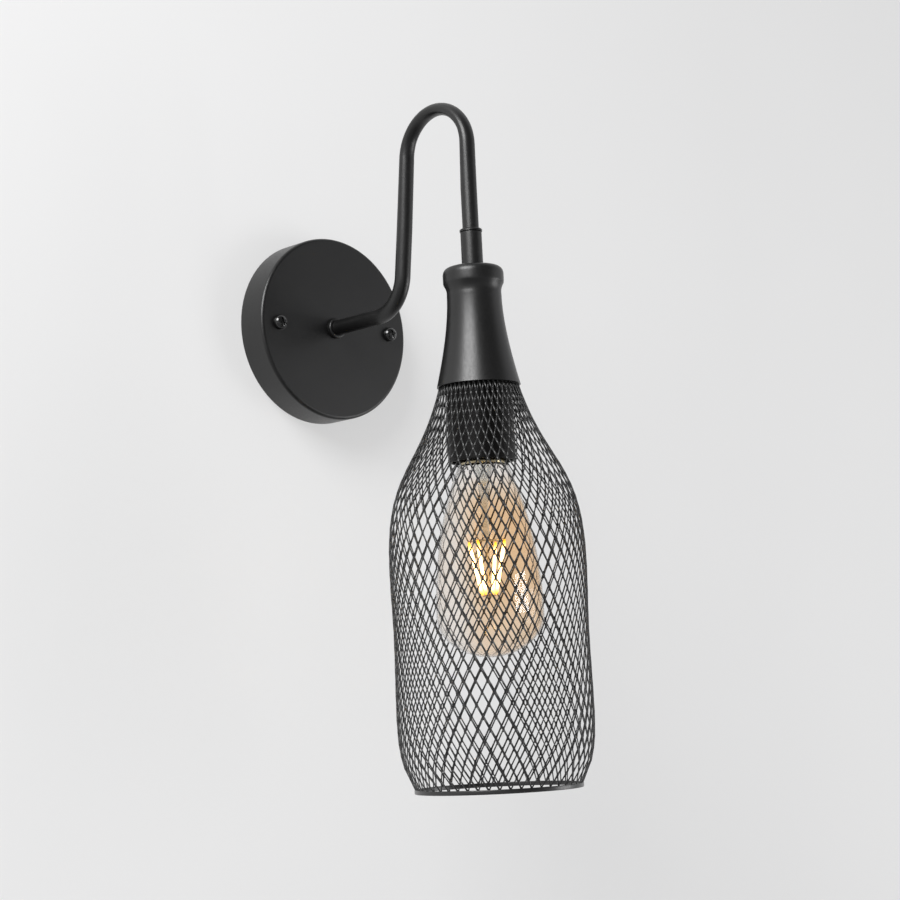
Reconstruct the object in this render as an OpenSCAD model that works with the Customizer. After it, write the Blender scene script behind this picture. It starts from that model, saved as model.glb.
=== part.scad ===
// Cage wall light. Millimetres, +Z up. The wall is the plane y = 0 and the light stands out
// toward -Y. The origin is the centre of the back plate on the wall.

/* [View] */
// Which piece to show, or all of them

/* [Canopy] */
// Diameter of the round back plate
canopy_d = 120; // [100:1:140]
// Depth of the canopy, wall to face
canopy_depth = 22; // [16:1:35]
// Sheet thickness of the canopy
canopy_wall = 1.2; // [0.8:0.1:2]
// Outer radius of the face's edge
canopy_edge_r = 2; // [1:0.5:4]
// Distance between the two canopy screws
canopy_screw_spacing = 92; // [70:1:100]
// Head diameter of the canopy screws
canopy_screw_head_d = 9.4; // [7:0.2:11]

/* [Wall bracket] */
// Length of the strap
bracket_length = 104; // [90:1:110]
// Width of the strap
bracket_width = 22; // [16:1:30]
// Thickness of the strap
bracket_wall = 1.5; // [1:0.1:3]
// How far the tapped ends stand off the wall
bracket_offset = 8; // [5:0.5:12]
// Distance between the centres of the wall screw slots
wall_slot_spacing = 60; // [50:1:65]
// End-to-end length of a wall screw slot
wall_slot_length = 10; // [6:0.5:14]
// Width of a wall screw slot
wall_slot_width = 4.5; // [3.5:0.1:6]
// Diameter of the supply cable's hole
cable_hole_d = 12; // [8:0.5:16]

/* [Arm] */
// Outer diameter of the arm's tube
arm_d = 10; // [8:0.5:14]
// Wall of the arm's tube
arm_wall = 1; // [0.7:0.1:2]
// Distance of the shade's axis from the wall
arm_reach = 155; // [130:1:180]
// Height of the arm's highest centre point above the canopy's centre
arm_top = 119; // [90:1:150]
// Centreline radius of the lower bend
lower_bend_r = 25; // [18:0.5:35]
// Centreline radius of the upper bend
upper_bend_r = 27.5; // [20:0.5:40]
// Outward lean of the rising leg, degrees from upright
arm_lean = 7.4; // [0:0.1:15]
// Height of the arm's lower end inside the sleeve
arm_end_z = 26; // [22:0.5:32]

/* [Shade] */
// Height of the neck cap's crown
crown_z = 16; // [10:0.5:25]
// Length of the sleeve between arm and crown
sleeve_length = 21; // [14:1:30]
// Outer diameter of the sleeve
sleeve_d = 13; // [12:0.2:16]
// Height of the neck cap's lower edge
cap_edge_z = -58; // [-70:1:-50]
// Outer radius of the bead round the crown
cap_bead_r = 18.5; // [15:0.25:22]
// Outer radius at the neck's waist
cap_waist_r = 16.6; // [14:0.1:20]
// Outer radius at the neck cap's lower edge
cap_edge_r = 25.3; // [22:0.1:28]
// Sheet thickness of the neck cap
cap_wall = 1; // [0.7:0.1:1.5]

/* [Cage] */
// Diamonds in one turn of the mesh
mesh_around = 34; // [24:1:36]
// Rows of strands from the neck to the rim
mesh_rows = 23; // [16:1:25]
// Width of a strand across the face
strand_w = 1.3; // [0.8:0.1:2]
// Depth of a strand
strand_t = 1.1; // [0.8:0.1:2]
// Outer radius of the cage's shoulder
cage_r = 58.8; // [50:0.2:65]
// Outer radius half way down the cage
cage_mid_r = 58; // [50:0.2:65]
// Outer radius of the mesh at the rim
cage_rim_r = 49.3; // [44:0.1:56]
// Height of the shoulder's widest point
shoulder_z = -165; // [-180:1:-140]
// Height of the mesh's lower end
mesh_end_z = -296.2; // [-320:0.2:-260]

/* [Lamp] */
// Diameter of the glass
bulb_d = 64; // [60:1:80]
// Height of the glass's lowest point
bulb_end_z = -220.5; // [-240:0.5:-200]
// Overall length of the lamp, contact to tip of the glass
bulb_length = 142; // [135:1:150]
// Major diameter of the lamp cap's thread
bulb_cap_d = 26; // [25:0.1:27]
// Thickness of the glass
glass_wall = 0.8; // [0.5:0.1:1.5]
// Length of a filament stick
filament_length = 33; // [25:1:40]
// Number of filament sticks
filament_count = 4; // [2:1:6]

/* [Lampholder] */
// Outer diameter of the lampholder
holder_d = 40; // [36:0.5:44]
// Height of the lampholder's mouth
holder_mouth_z = -104; // [-110:1:-95]
// Height of the lampholder's top
holder_top_z = -46; // [-52:1:-40]
// Height of the joint between dome and skirt
holder_joint_z = -62; // [-68:1:-58]

/* [Hidden] */
$fn = 64;

black = "#2b2b2b";
steel = "#b9bcc0";
brass = "#c9a24d";
cut = 1;                             // how far a cutter stands past the face it cuts
slip = 0.05;                         // gap round a piece that is screwed or pushed in
hole_gap = 0.2;                      // gap round the arm and the nipple in a plain hole

canopy_r = canopy_d / 2;
arm_r = arm_d / 2;
thread_bore_r = arm_r + slip;
nut_across_flats = 14;
nut_r = nut_across_flats / 2 / cos(30);
screw_r = 1.95;                      // shank of an M4 screw in its tapped hole
tapped_r = 2.05;
clear_r = 2.25;
canopy_screw_length = 16;
tag_wall = 0.8;
washer_wall = 1;
washer_r = 9;
arm_nut_h = 3;
collar_h = 3;
canopy_inner = canopy_depth - canopy_wall;
arm_start = 14;                      // the arm's threaded end, from the wall
holder_r = holder_d / 2;
holder_wall = 2;
nipple_end_z = holder_top_z - 5;
bulb_tip_z = bulb_end_z + bulb_length;
bulb_cap_r = bulb_cap_d / 2;
lead_r = 1;

// ---------- outlines ----------

// points of an arc in the plane of the outline
function arc(centre, r, from, to, steps) =
    [for (i = [0:steps]) centre + r * [cos(from + (to - from) * i / steps),
                                       sin(from + (to - from) * i / steps)]];

// points of a cubic curve with its two handles
function curve(a, b, c, d, steps) =
    [for (i = [0:steps]) let (t = i / steps, u = 1 - t)
        u * u * u * a + 3 * u * u * t * b + 3 * u * t * t * c + t * t * t * d];

// the outline without its first point, to follow another without a double
function after_first(p) = [for (i = [1:len(p) - 1]) p[i]];

function backwards(p) = [for (i = [len(p) - 1:-1:0]) p[i]];

function unit(v) = v / norm(v);

// direction of travel at one point of an outline or route
function heading(p, i) = unit(p[min(i + 1, len(p) - 1)] - p[max(i - 1, 0)]);

// the same outline moved sideways by d, to the right of its travel
function beside(p, d) = [for (i = [0:len(p) - 1]) let (h = heading(p, i)) p[i] + d * [h[1], -h[0]]];

// a wall of even thickness, closed into one outline
function wall_outline(p, d) = concat(p, backwards(beside(p, d)));

// ---------- places ----------

// local z becomes the distance from the wall
module from_wall(d = 0)
    translate([0, -d, 0])
        rotate([90, 0, 0])
            children();

// local x becomes the distance from the wall, local y the height
module in_arm_plane()
    rotate([90, 0, -90])
        children();

module on_shade_axis(z = 0)
    translate([0, -arm_reach, z])
        children();

module ring(outer, inner, height)
    difference() {
        cylinder(r = outer, h = height);
        translate([0, 0, -cut])
            cylinder(r = inner, h = height + 2 * cut);
    }

module hex_nut(height)
    difference() {
        cylinder(r = nut_r, h = height, $fn = 6);
        translate([0, 0, -cut])
            cylinder(r = thread_bore_r, h = height + 2 * cut, $fn = 64);
    }

// pan head standing on z = 0 with a cross recess
module pan_head(head_r, height) {
    crown = 0.35 * height;
    recess_w = 0.2 * head_r;
    recess_l = 1.1 * head_r;
    difference() {
        rotate_extrude()
            polygon(concat([[0, 0], [head_r - 0.3, 0]],
                           curve([head_r, 0.3], [head_r, height - crown], [head_r * 0.7, height],
                                 [0, height], 8)));
        for (turn = [0, 90])
            rotate([0, 0, turn])
                translate([-recess_l / 2, -recess_w / 2, height * 0.4])
                    cube([recess_l, recess_w, height]);
    }
}

// ---------- wall bracket and supply ----------

block_size = [17, 11, 15];
block_x = 7.5;
pole_pitch = 8;
clamp_r = 1.45;                      // clamp screws of the block, and how far in from its ends
clamp_inset = 4;
block_mid_x = block_x + block_size[0] / 2;
pole_x = [block_mid_x - pole_pitch / 2, block_mid_x + pole_pitch / 2];
earth_screw_x = -16;

module wall_bracket() {
    flat_half = bracket_length / 2 - 15;
    ramp_half = bracket_length / 2 - 10;
    half = bracket_length / 2;
    color(steel)
        difference() {
            intersection() {
                translate([0, 0, -bracket_width / 2])
                    linear_extrude(bracket_width)
                        polygon([[-half, -bracket_offset], [-ramp_half, -bracket_offset],
                                 [-flat_half, 0], [flat_half, 0], [ramp_half, -bracket_offset],
                                 [half, -bracket_offset], [half, -bracket_offset - bracket_wall],
                                 [ramp_half - 1, -bracket_offset - bracket_wall],
                                 [flat_half - 1, -bracket_wall], [1 - flat_half, -bracket_wall],
                                 [1 - ramp_half, -bracket_offset - bracket_wall],
                                 [-half, -bracket_offset - bracket_wall]]);
                from_wall(-cut)
                    cylinder(r = half, h = canopy_depth);
            }
            from_wall(-cut)
                cylinder(d = cable_hole_d, h = bracket_wall + 2 * cut);
            for (side = [-1, 1]) {
                wall_slot(side * wall_slot_spacing / 2);
                translate([side * canopy_screw_spacing / 2, 0, 0])
                    from_wall(-cut)
                        cylinder(r = tapped_r, h = canopy_depth);
            }
            translate([earth_screw_x, 0, 0])
                from_wall(-cut)
                    cylinder(r = tapped_r, h = bracket_wall + 2 * cut);
        }
}

// a round-ended slot through the flat of the strap
module wall_slot(x) {
    run = wall_slot_length - wall_slot_width;
    translate([x, 0, 0])
        from_wall(-cut) {
            for (side = [-1, 1])
                translate([side * run / 2, 0, 0])
                    cylinder(d = wall_slot_width, h = bracket_wall + 2 * cut);
            translate([-run / 2, -wall_slot_width / 2, 0])
                cube([run, wall_slot_width, bracket_wall + 2 * cut]);
        }
}

module earth_screw() {
    washer_r = 4.5;
    color(brass)
        translate([earth_screw_x, 0, 0])
            from_wall(bracket_wall) {
                ring(washer_r, screw_r, washer_wall);
                translate([0, 0, tag_wall + washer_wall])
                    pan_head(3.8, 2.6);
                translate([0, 0, -bracket_wall + 0.3])
                    cylinder(r = screw_r, h = bracket_wall + tag_wall + washer_wall + 0.4);
            }
}

// two poles, each with a bore for the leads and two clamp screws, and a slot for the post between
module terminal_block() {
    post_r = 3.6;
    bore_r = 1.5;
    slot = [1.5, block_size[1] - post_r, 3];
    color("#e8e4da")
        translate([block_x, -bracket_wall - block_size[1], -block_size[2] / 2])
            difference() {
                cube(block_size);
                for (x = pole_x)
                    translate([x - block_x, block_size[1] / 2, 0]) {
                        translate([0, 0, -cut])
                            cylinder(r = bore_r, h = block_size[2] + 2 * cut);
                        for (z = [clamp_inset, block_size[2] - clamp_inset])
                            translate([0, 0, z])
                                rotate([90, 0, 0])
                                    cylinder(r = clamp_r + 0.1, h = block_size[1]);
                    }
                for (z = [-cut, block_size[2] - slot[2]])
                    translate([(block_size[0] - slot[0]) / 2, -cut, z])
                        cube(slot + [0, cut, cut]);
            }
}

module terminal_screws() {
    height = 3.6;
    slot_w = 0.4;
    slot_depth = 0.6;
    color(brass)
        for (x = pole_x, side = [-1, 1])
            translate([x, 0, side * (block_size[2] / 2 - clamp_inset)])
                from_wall(bracket_wall + block_size[1] / 2 + 1.2)
                    difference() {
                        cylinder(r = clamp_r, h = height);
                        translate([-clamp_r - cut, -slot_w / 2, height - slot_depth])
                            cube([2 * (clamp_r + cut), slot_w, slot_depth + cut]);
                    }
}

// ---------- canopy ----------

module canopy() {
    inner_edge_r = canopy_edge_r - canopy_wall;
    corner = [canopy_r - canopy_edge_r, canopy_depth - canopy_edge_r];
    hole_r = arm_r + hole_gap;
    color(black)
        difference() {
            from_wall()
                rotate_extrude($fn = 96)
                    polygon(concat([[canopy_r - canopy_wall, 0], [canopy_r, 0]],
                                   arc(corner, canopy_edge_r, 0, 90, 6),
                                   [[hole_r, canopy_depth], [hole_r, canopy_inner]],
                                   arc(corner, inner_edge_r, 90, 0, 4)));
            for (side = [-1, 1])
                translate([side * canopy_screw_spacing / 2, 0, 0])
                    from_wall(canopy_inner - cut)
                        cylinder(r = clear_r, h = canopy_wall + 2 * cut);
        }
}

module canopy_screws()
    color("#161616")
        for (side = [-1, 1])
            translate([side * canopy_screw_spacing / 2, 0, 0]) {
                from_wall(canopy_depth)
                    pan_head(canopy_screw_head_d / 2, 3.2);
                from_wall(canopy_depth - canopy_screw_length)
                    cylinder(r = screw_r, h = canopy_screw_length + 0.5);
            }

// ---------- arm ----------

// Centres of the two bends, as distance from the wall and height. The rising leg touches both.
upper_centre = [arm_reach - upper_bend_r, arm_top - upper_bend_r];
lower_centre = [upper_centre[0] - (lower_bend_r + upper_bend_r) * cos(arm_lean)
                - (upper_centre[1] - lower_bend_r + (lower_bend_r + upper_bend_r) * sin(arm_lean))
                * tan(arm_lean), lower_bend_r];
leg_start = lower_centre + lower_bend_r * [cos(arm_lean), -sin(arm_lean)];
leg_end = upper_centre + upper_bend_r * [-cos(arm_lean), sin(arm_lean)];

bend_swell = 0.02;                   // bent tube is a hair thicker than the straights
bend_lap = 0.3;

// one straight stretch of round bar in the plane of the arm, run on into the bends at its ends
module arm_straight(from, to, r, from_lap, to_lap) {
    run = to - from;
    translate([from[0], from[1], 0])
        rotate([0, 0, atan2(run[1], run[0])])
            translate([-from_lap, 0, 0])
                rotate([0, 90, 0])
                    cylinder(r = r - bend_swell, h = norm(run) + from_lap + to_lap);
}

// one bend of round bar in the plane of the arm
module arm_bend(centre, bend_r, from, sweep, r)
    translate([centre[0], centre[1], 0])
        rotate([0, 0, from])
            rotate_extrude(angle = sweep, $fn = 128)
                translate([bend_r, 0, 0])
                    circle(r = r);

module arm_bar(r, end_lap) {
    arm_straight([arm_start, 0], [lower_centre[0], 0], r, end_lap, bend_lap);
    arm_bend(lower_centre, lower_bend_r, -90, 90 - arm_lean, r);
    arm_straight(leg_start, leg_end, r, bend_lap, bend_lap);
    arm_bend(upper_centre, upper_bend_r, 0, 180 - arm_lean, r);
    arm_straight([arm_reach, arm_end_z], [arm_reach, upper_centre[1]], r, end_lap, bend_lap);
}

module arm_tube()
    color(black)
        in_arm_plane()
            difference() {
                arm_bar(arm_r, 0);
                arm_bar(arm_r - arm_wall, cut);
            }

module arm_collar() {
    collar_r = 6.8;
    color(black)
        from_wall(canopy_depth)
            rotate_extrude()
                polygon(concat([[thread_bore_r, 0], [collar_r, 0]],
                               arc([collar_r - 1, collar_h - 1], 1, 0, 90, 4),
                               [[thread_bore_r, collar_h]]));
}

module arm_washer()
    color(steel)
        from_wall(canopy_inner - washer_wall)
            ring(washer_r, arm_r + hole_gap, washer_wall);

// ring tag round the arm with the crimp barrel of its lead
module earth_tag() {
    barrel_x = -15;
    barrel_l = 6;
    barrel_r = 1.8;
    barrel_drop = 0.6;
    neck_l = 9;
    color(steel)
        from_wall(canopy_inner - washer_wall - tag_wall)
            difference() {
                union() {
                    cylinder(r = 8, h = tag_wall);
                    translate([barrel_x, -barrel_r, 0])
                        cube([neck_l, 2 * barrel_r, tag_wall]);
                    translate([barrel_x, 0, -barrel_drop])
                        rotate([0, 90, 0])
                            cylinder(r = barrel_r, h = barrel_l);
                }
                translate([0, 0, -cut])
                    cylinder(r = arm_r + hole_gap, h = tag_wall + 2 * cut);
                translate([barrel_x - cut, 0, -barrel_drop])
                    rotate([0, 90, 0])
                        cylinder(r = lead_r + slip, h = barrel_l + 2 * cut);
            }
}

module arm_nut()
    color(steel)
        from_wall(canopy_inner - washer_wall - tag_wall - arm_nut_h)
            hex_nut(arm_nut_h);

// ---------- sleeve and nipple ----------

lock_ring_h = 1.6;
sleeve_top_z = crown_z + sleeve_length;

module sleeve_lock_ring()
    color(black)
        on_shade_axis(sleeve_top_z)
            rotate_extrude()
                polygon([[thread_bore_r, 0], [6.9, 0], [6.9, 1.1], [6.4, lock_ring_h],
                         [thread_bore_r, lock_ring_h]]);

module coupler_sleeve() {
    sleeve_r = sleeve_d / 2;
    chamfer = 0.5;
    color(black)
        on_shade_axis(crown_z)
            rotate_extrude()
                polygon([[thread_bore_r, 0], [sleeve_r - chamfer, 0], [sleeve_r, chamfer],
                         [sleeve_r, sleeve_length - chamfer], [sleeve_r - chamfer, sleeve_length],
                         [thread_bore_r, sleeve_length]]);
}

module holder_nipple() {
    top_z = arm_end_z - 0.5;
    color(steel)
        on_shade_axis(nipple_end_z)
            ring(arm_r, arm_r - arm_wall, top_z - nipple_end_z);
}

// ---------- neck cap ----------

// The outer face from the crown's hole to the lower edge, as radius and height
cap_edge_slope = 0.25;
crown_flat_r = 10;
bead_z = 6.5;
waist_z = -2.5;
cap_flare = curve([cap_waist_r, waist_z], [cap_waist_r, waist_z - 16.5],
                  [cap_edge_r - 20 * cap_edge_slope, cap_edge_z + 20], [cap_edge_r, cap_edge_z], 16);
cap_face = concat(
    [[arm_r + hole_gap, crown_z]],
    curve([crown_flat_r, crown_z], [cap_bead_r - 2.3, crown_z], [cap_bead_r, crown_z - 2.2],
          [cap_bead_r, bead_z], 8),
    after_first(curve([cap_bead_r, bead_z], [cap_bead_r, bead_z - 4.9], [cap_waist_r, waist_z + 4.9],
                      [cap_waist_r, waist_z], 8)),
    after_first(cap_flare));

module neck_cap()
    color(black)
        on_shade_axis()
            rotate_extrude($fn = 96)
                polygon(wall_outline(cap_face, cap_wall));

module cap_washer()
    color(steel)
        on_shade_axis(crown_z - cap_wall - washer_wall)
            ring(washer_r, arm_r + hole_gap, washer_wall);

module cap_nut() {
    height = 4;
    color(steel)
        on_shade_axis(crown_z - cap_wall - washer_wall - height)
            hex_nut(height);
}

// ---------- cage ----------

// The mesh's outer face, from its hidden top band inside the neck cap to the rim
band_h = 4;
rim_band_h = 2;
neck_gap = cap_wall + 0.3;
band_top = [cap_edge_r - cap_edge_slope * 8 - neck_gap, cap_edge_z + 8];
shoulder = [cage_r, shoulder_z];
middle = [cage_mid_r, shoulder_z - 43];
tuck = [cage_r - 0.3, mesh_end_z + 44];
rim_point = [cage_rim_r + 0.2, mesh_end_z + rim_band_h];
cage_face = concat(
    curve(band_top, band_top + [14.6, -59.7], shoulder + [0, 62.5], shoulder, 40),
    after_first(curve(shoulder, shoulder - [0, 20], middle + [0, 18], middle, 8)),
    after_first(curve(middle, middle - [0, 18], tuck + [0, 18], tuck, 8)),
    after_first(curve(tuck, tuck - [0, 29], rim_point + [4.4, 9.6], rim_point, 20)),
    [[cage_rim_r, mesh_end_z]]);

// distance run along the face at each of its points
function run_lengths(p, i = 0, sum = 0) =
    i >= len(p) ? [] : let (next = i == 0 ? 0 : sum + norm(p[i] - p[i - 1]))
        concat([next], run_lengths(p, i + 1, next));

cage_run = run_lengths(cage_face);
cage_length = cage_run[len(cage_run) - 1];
radius_table = [for (i = [0:len(cage_face) - 1]) [cage_run[i], cage_face[i][0]]];
height_table = [for (i = [0:len(cage_face) - 1]) [cage_run[i], cage_face[i][1]]];
function cage_radius(s) = lookup(s, radius_table);
function cage_height(s) = lookup(s, height_table);

// Every strand has one length, so rows stand taller where the mesh is drawn in.
// This is how far a row goes down at a place s.
function half_pitch(s) = PI * cage_radius(s) / mesh_around;
function row_drop(s, strand) = sqrt(strand * strand - pow(half_pitch(s), 2));
function rows_from(s, strand, left) =
    left == 0 ? [s] : concat([s], rows_from(s + row_drop(s, strand), strand, left - 1));

lattice_length = cage_length - band_h - rim_band_h;
nominal_strand = 1.02 * norm([lattice_length / mesh_rows, PI * cage_mid_r / mesh_around]);
nominal_rows = rows_from(band_h, nominal_strand, mesh_rows);
row_fit = lattice_length / (nominal_rows[mesh_rows] - band_h);
row_run = [for (s = nominal_rows) band_h + (s - band_h) * row_fit];

step_angle = 360 / mesh_around;
// angle of the left node of hole j in row k, counted in whole turns of the lattice
function node_angle(k, j) = (j + (k % 2) / 2) * step_angle;
function on_face(s, angle, depth = 0) = let (r = cage_radius(s) - depth)
    [r * cos(angle), r * sin(angle), cage_height(s)];

// share of a diamond that is left open between two strands
function open_share(k) = let (
    a = half_pitch(row_run[k]),
    h = (row_run[min(k + 1, mesh_rows)] - row_run[max(k - 1, 0)]) / (k == 0 || k == mesh_rows ? 1 : 2))
    1 - strand_w * sqrt(a * a + h * h) / (2 * a * h);

// Corners of hole j in row k: left, right, upper, lower. The end rows are half diamonds, so
// their missing corner sits on the band's edge.
function corner_l(k, j) = on_face(edge_run(k), node_angle(k, j) + (1 - side_share(k)) * step_angle / 2);
function corner_r(k, j) = on_face(edge_run(k), node_angle(k, j) + (1 + side_share(k)) * step_angle / 2);
function side_share(k) = k == 0 || k == mesh_rows ? open_share(k) - 0.1 : open_share(k);
function edge_run(k) = row_run[k] + (k == 0 ? strand_w / 2 : k == mesh_rows ? -strand_w / 2 : 0);
function corner_u(k, j) = on_face(row_run[k] - open_share(k) * (row_run[k] - row_run[max(k - 1, 0)]),
                                  node_angle(k, j) + step_angle / 2);
function corner_d(k, j) = on_face(row_run[k] + open_share(k)
                                  * (row_run[min(k + 1, mesh_rows)] - row_run[k]),
                                  node_angle(k, j) + step_angle / 2);

corners_per_row = 4 * mesh_around;
ridge_base = corners_per_row * (mesh_rows + 1);
band_base = ridge_base + mesh_around * (mesh_rows + 1);
mesh_points = concat(
    [for (k = [0:mesh_rows], j = [0:mesh_around - 1], c = [0:3])
        c == 0 ? corner_l(k, j) : c == 1 ? corner_r(k, j) : c == 2 ? corner_u(k, j) : corner_d(k, j)],
    [for (k = [0:mesh_rows], j = [0:mesh_around - 1])
        on_face(row_run[k], node_angle(k, j), strand_t)],
    [for (s = [0, cage_length], depth = [0, strand_t], j = [0:mesh_around - 1])
        on_face(s, node_angle(s == 0 ? 0 : mesh_rows, j), depth)]);

function wrap(j) = (j + mesh_around) % mesh_around;
function corner(k, j, c) = k * corners_per_row + wrap(j) * 4 + c;
function left_of(k, j) = corner(k, j, 0);
function right_of(k, j) = corner(k, j, 1);
function top_of(k, j) = corner(k, j, 2);
function foot_of(k, j) = corner(k, j, 3);
function ridge(k, j) = ridge_base + k * mesh_around + wrap(j);
function band(side, depth, j) = band_base + (side * 2 + depth) * mesh_around + wrap(j);
// the hole of the next row that stands half a step to the right of hole j, or to the left
function right_below(k, j) = k % 2 == 0 ? j : j + 1;
function left_below(k, j) = right_below(k, j) - 1;

function quad(a, b, c, d) = [[a, b, c], [a, c, d]];

// faces between one row and the next: two strands and one crossing for each hole
function strand_faces(k) = [for (j = [0:mesh_around - 1]) let (r = right_below(k, j), l = left_below(k, j))
    each concat(
        quad(right_of(k, j), top_of(k + 1, r), left_of(k + 1, r), foot_of(k, j)),
        quad(top_of(k + 1, l), left_of(k, j), foot_of(k, j), right_of(k + 1, l)),
        quad(right_of(k, j), foot_of(k, j), ridge(k + 1, r), ridge(k, j + 1)),
        quad(foot_of(k, j), left_of(k, j), ridge(k, j), ridge(k + 1, r)),
        quad(left_of(k + 1, r), top_of(k + 1, r), ridge(k, j + 1), ridge(k + 1, r)),
        quad(top_of(k + 1, l), right_of(k + 1, l), ridge(k + 1, r), ridge(k, j)))];

function crossing_faces(k) = [for (j = [0:mesh_around - 1])
    each quad(foot_of(k - 1, crossing_above(k, j)), left_of(k, j),
              top_of(k + 1, crossing_below(k, j)), right_of(k, j - 1))];
function crossing_above(k, j) = k % 2 == 0 ? j - 1 : j;
function crossing_below(k, j) = k % 2 == 0 ? j - 1 : j;

// the plain bands that close the mesh at the neck and at the rim
function top_band_faces() = [for (j = [0:mesh_around - 1]) each concat(
    quad(band(0, 0, j), band(0, 0, j + 1), right_of(0, j), left_of(0, j)),
    [[band(0, 0, j), left_of(0, j), right_of(0, j - 1)]],
    [[left_of(0, j), top_of(1, j - 1), right_of(0, j - 1)]],
    quad(left_of(0, j), right_of(0, j), ridge(0, j + 1), ridge(0, j)),
    quad(ridge(0, j), ridge(0, j + 1), band(0, 1, j + 1), band(0, 1, j)),
    quad(band(0, 1, j), band(0, 1, j + 1), band(0, 0, j + 1), band(0, 0, j)))];

function foot_band_faces() = let (k = mesh_rows) [for (j = [0:mesh_around - 1]) each concat(
    quad(left_of(k, j), right_of(k, j), band(1, 0, j + 1), band(1, 0, j)),
    [[right_of(k, j - 1), left_of(k, j), band(1, 0, j)]],
    [[right_of(k, j - 1), foot_of(k - 1, crossing_above(k, j)), left_of(k, j)]],
    quad(right_of(k, j), left_of(k, j), ridge(k, j), ridge(k, j + 1)),
    quad(ridge(k, j + 1), ridge(k, j), band(1, 1, j), band(1, 1, j + 1)),
    quad(band(1, 1, j + 1), band(1, 1, j), band(1, 0, j), band(1, 0, j + 1)))];

mesh_faces = concat(
    [for (k = [0:mesh_rows - 1]) each strand_faces(k)],
    [for (k = [1:mesh_rows - 1]) each crossing_faces(k)],
    top_band_faces(),
    foot_band_faces());

module cage_mesh()
    color(black)
        on_shade_axis()
            polyhedron(points = mesh_points, faces = mesh_faces, convexity = 6);

// clamps the mesh's top band against the inside of the neck cap
module cage_top_ring() {
    ring_wall = 1;
    gap = strand_t + 0.3;
    drop = 7;
    top = band_top - [gap, 0];
    foot = top + [cap_edge_slope * drop, -drop];
    color(steel)
        on_shade_axis()
            rotate_extrude($fn = 96)
                polygon([top, foot, foot - [ring_wall, 0], top - [ring_wall, 0]]);
}

// folded strip with a groove for the mesh's lower band
module cage_rim() {
    lip = 0.6;
    groove_out = cage_rim_r + 0.4;
    groove_in = (cage_rim_r - strand_t) * cos(step_angle / 2) - 0.2;
    lip_z = mesh_end_z + rim_band_h - 0.6;
    floor_z = mesh_end_z - 0.1;
    foot_r = 0.6;
    color(black)
        on_shade_axis()
            rotate_extrude($fn = 96)
                polygon(concat(
                    [[groove_in - lip, lip_z]],
                    arc([groove_in - lip + foot_r, floor_z - 0.1], foot_r, 180, 270, 4),
                    arc([groove_out + lip - foot_r, floor_z - 0.1], foot_r, 270, 360, 4),
                    [[groove_out + lip, lip_z], [groove_out, lip_z], [groove_out, floor_z],
                     [groove_in, floor_z], [groove_in, lip_z]]));
}

// ---------- lampholder ----------

mouth_wall = 1.6;
core_h = 9;
core_foot_z = holder_joint_z - core_h;
shell_in_r = bulb_cap_r + 0.4;
shell_wall = 0.4;
shell_h = 24;
terminal_x = 11;
contact_wall = 0.6;
contact_w = 5;

module lampholder_dome() {
    boss_r = 8;
    dome = concat([[holder_r, holder_joint_z]],
                  curve([holder_r, holder_joint_z + 6], [holder_r, holder_joint_z + 11],
                        [15, holder_top_z - 2], [boss_r + 1, holder_top_z - 2], 8),
                  [[boss_r, holder_top_z]]);
    hollow = concat(curve([boss_r + 1, holder_top_z - 6], [14, holder_top_z - 5.5],
                          [holder_r - holder_wall, holder_joint_z + 9],
                          [holder_r - holder_wall, holder_joint_z + 4], 8),
                    [[holder_r - holder_wall, holder_joint_z]]);
    color("#232323")
        on_shade_axis()
            rotate_extrude()
                polygon(concat(dome, [[thread_bore_r, holder_top_z], [thread_bore_r, holder_top_z - 7]],
                               hollow));
}

module lampholder_skirt() {
    inner_r = holder_r - mouth_wall;
    edge = 0.8;
    color("#232323")
        on_shade_axis()
            rotate_extrude()
                polygon(concat([[inner_r, holder_joint_z], [inner_r, holder_mouth_z + edge]],
                               arc([inner_r + edge, holder_mouth_z + edge], edge, 180, 270, 4),
                               arc([holder_r - edge, holder_mouth_z + edge], edge, 270, 360, 4),
                               [[holder_r, holder_joint_z]]));
}

// insulator that closes the skirt, with a slot for each contact
module lampholder_core() {
    core_r = holder_r - mouth_wall - slip;
    slot = [2, contact_w + 1, core_h + 2 * cut];
    color("#d9d5c8")
        on_shade_axis(core_foot_z)
            difference() {
                cylinder(r = core_r, h = core_h);
                for (side = [-1, 1])
                    translate([side * terminal_x - slot[0] / 2, -slot[1] / 2, -cut])
                        cube(slot);
            }
}

// shell with a flange under the insulator, notched where the middle contact comes down
module screw_shell() {
    flange_in_r = 9;
    flange_z = shell_h - shell_wall;
    notch = [5, contact_w + 1.4, 3 * shell_wall];
    color(brass)
        on_shade_axis(core_foot_z - shell_h)
            difference() {
                rotate_extrude()
                    polygon([[shell_in_r, 0], [shell_in_r + shell_wall, 0],
                             [shell_in_r + shell_wall, shell_h], [flange_in_r, shell_h],
                             [flange_in_r, flange_z], [shell_in_r, flange_z]]);
                translate([-terminal_x - 1.2, -notch[1] / 2, flange_z - shell_wall])
                    cube(notch);
            }
}

// a bent strip of the contacts, drawn from its side
module contact_strip(side_view)
    color(brass)
        on_shade_axis()
            translate([0, contact_w / 2, 0])
                rotate([90, 0, 0])
                    linear_extrude(contact_w)
                        polygon(side_view);

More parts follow.
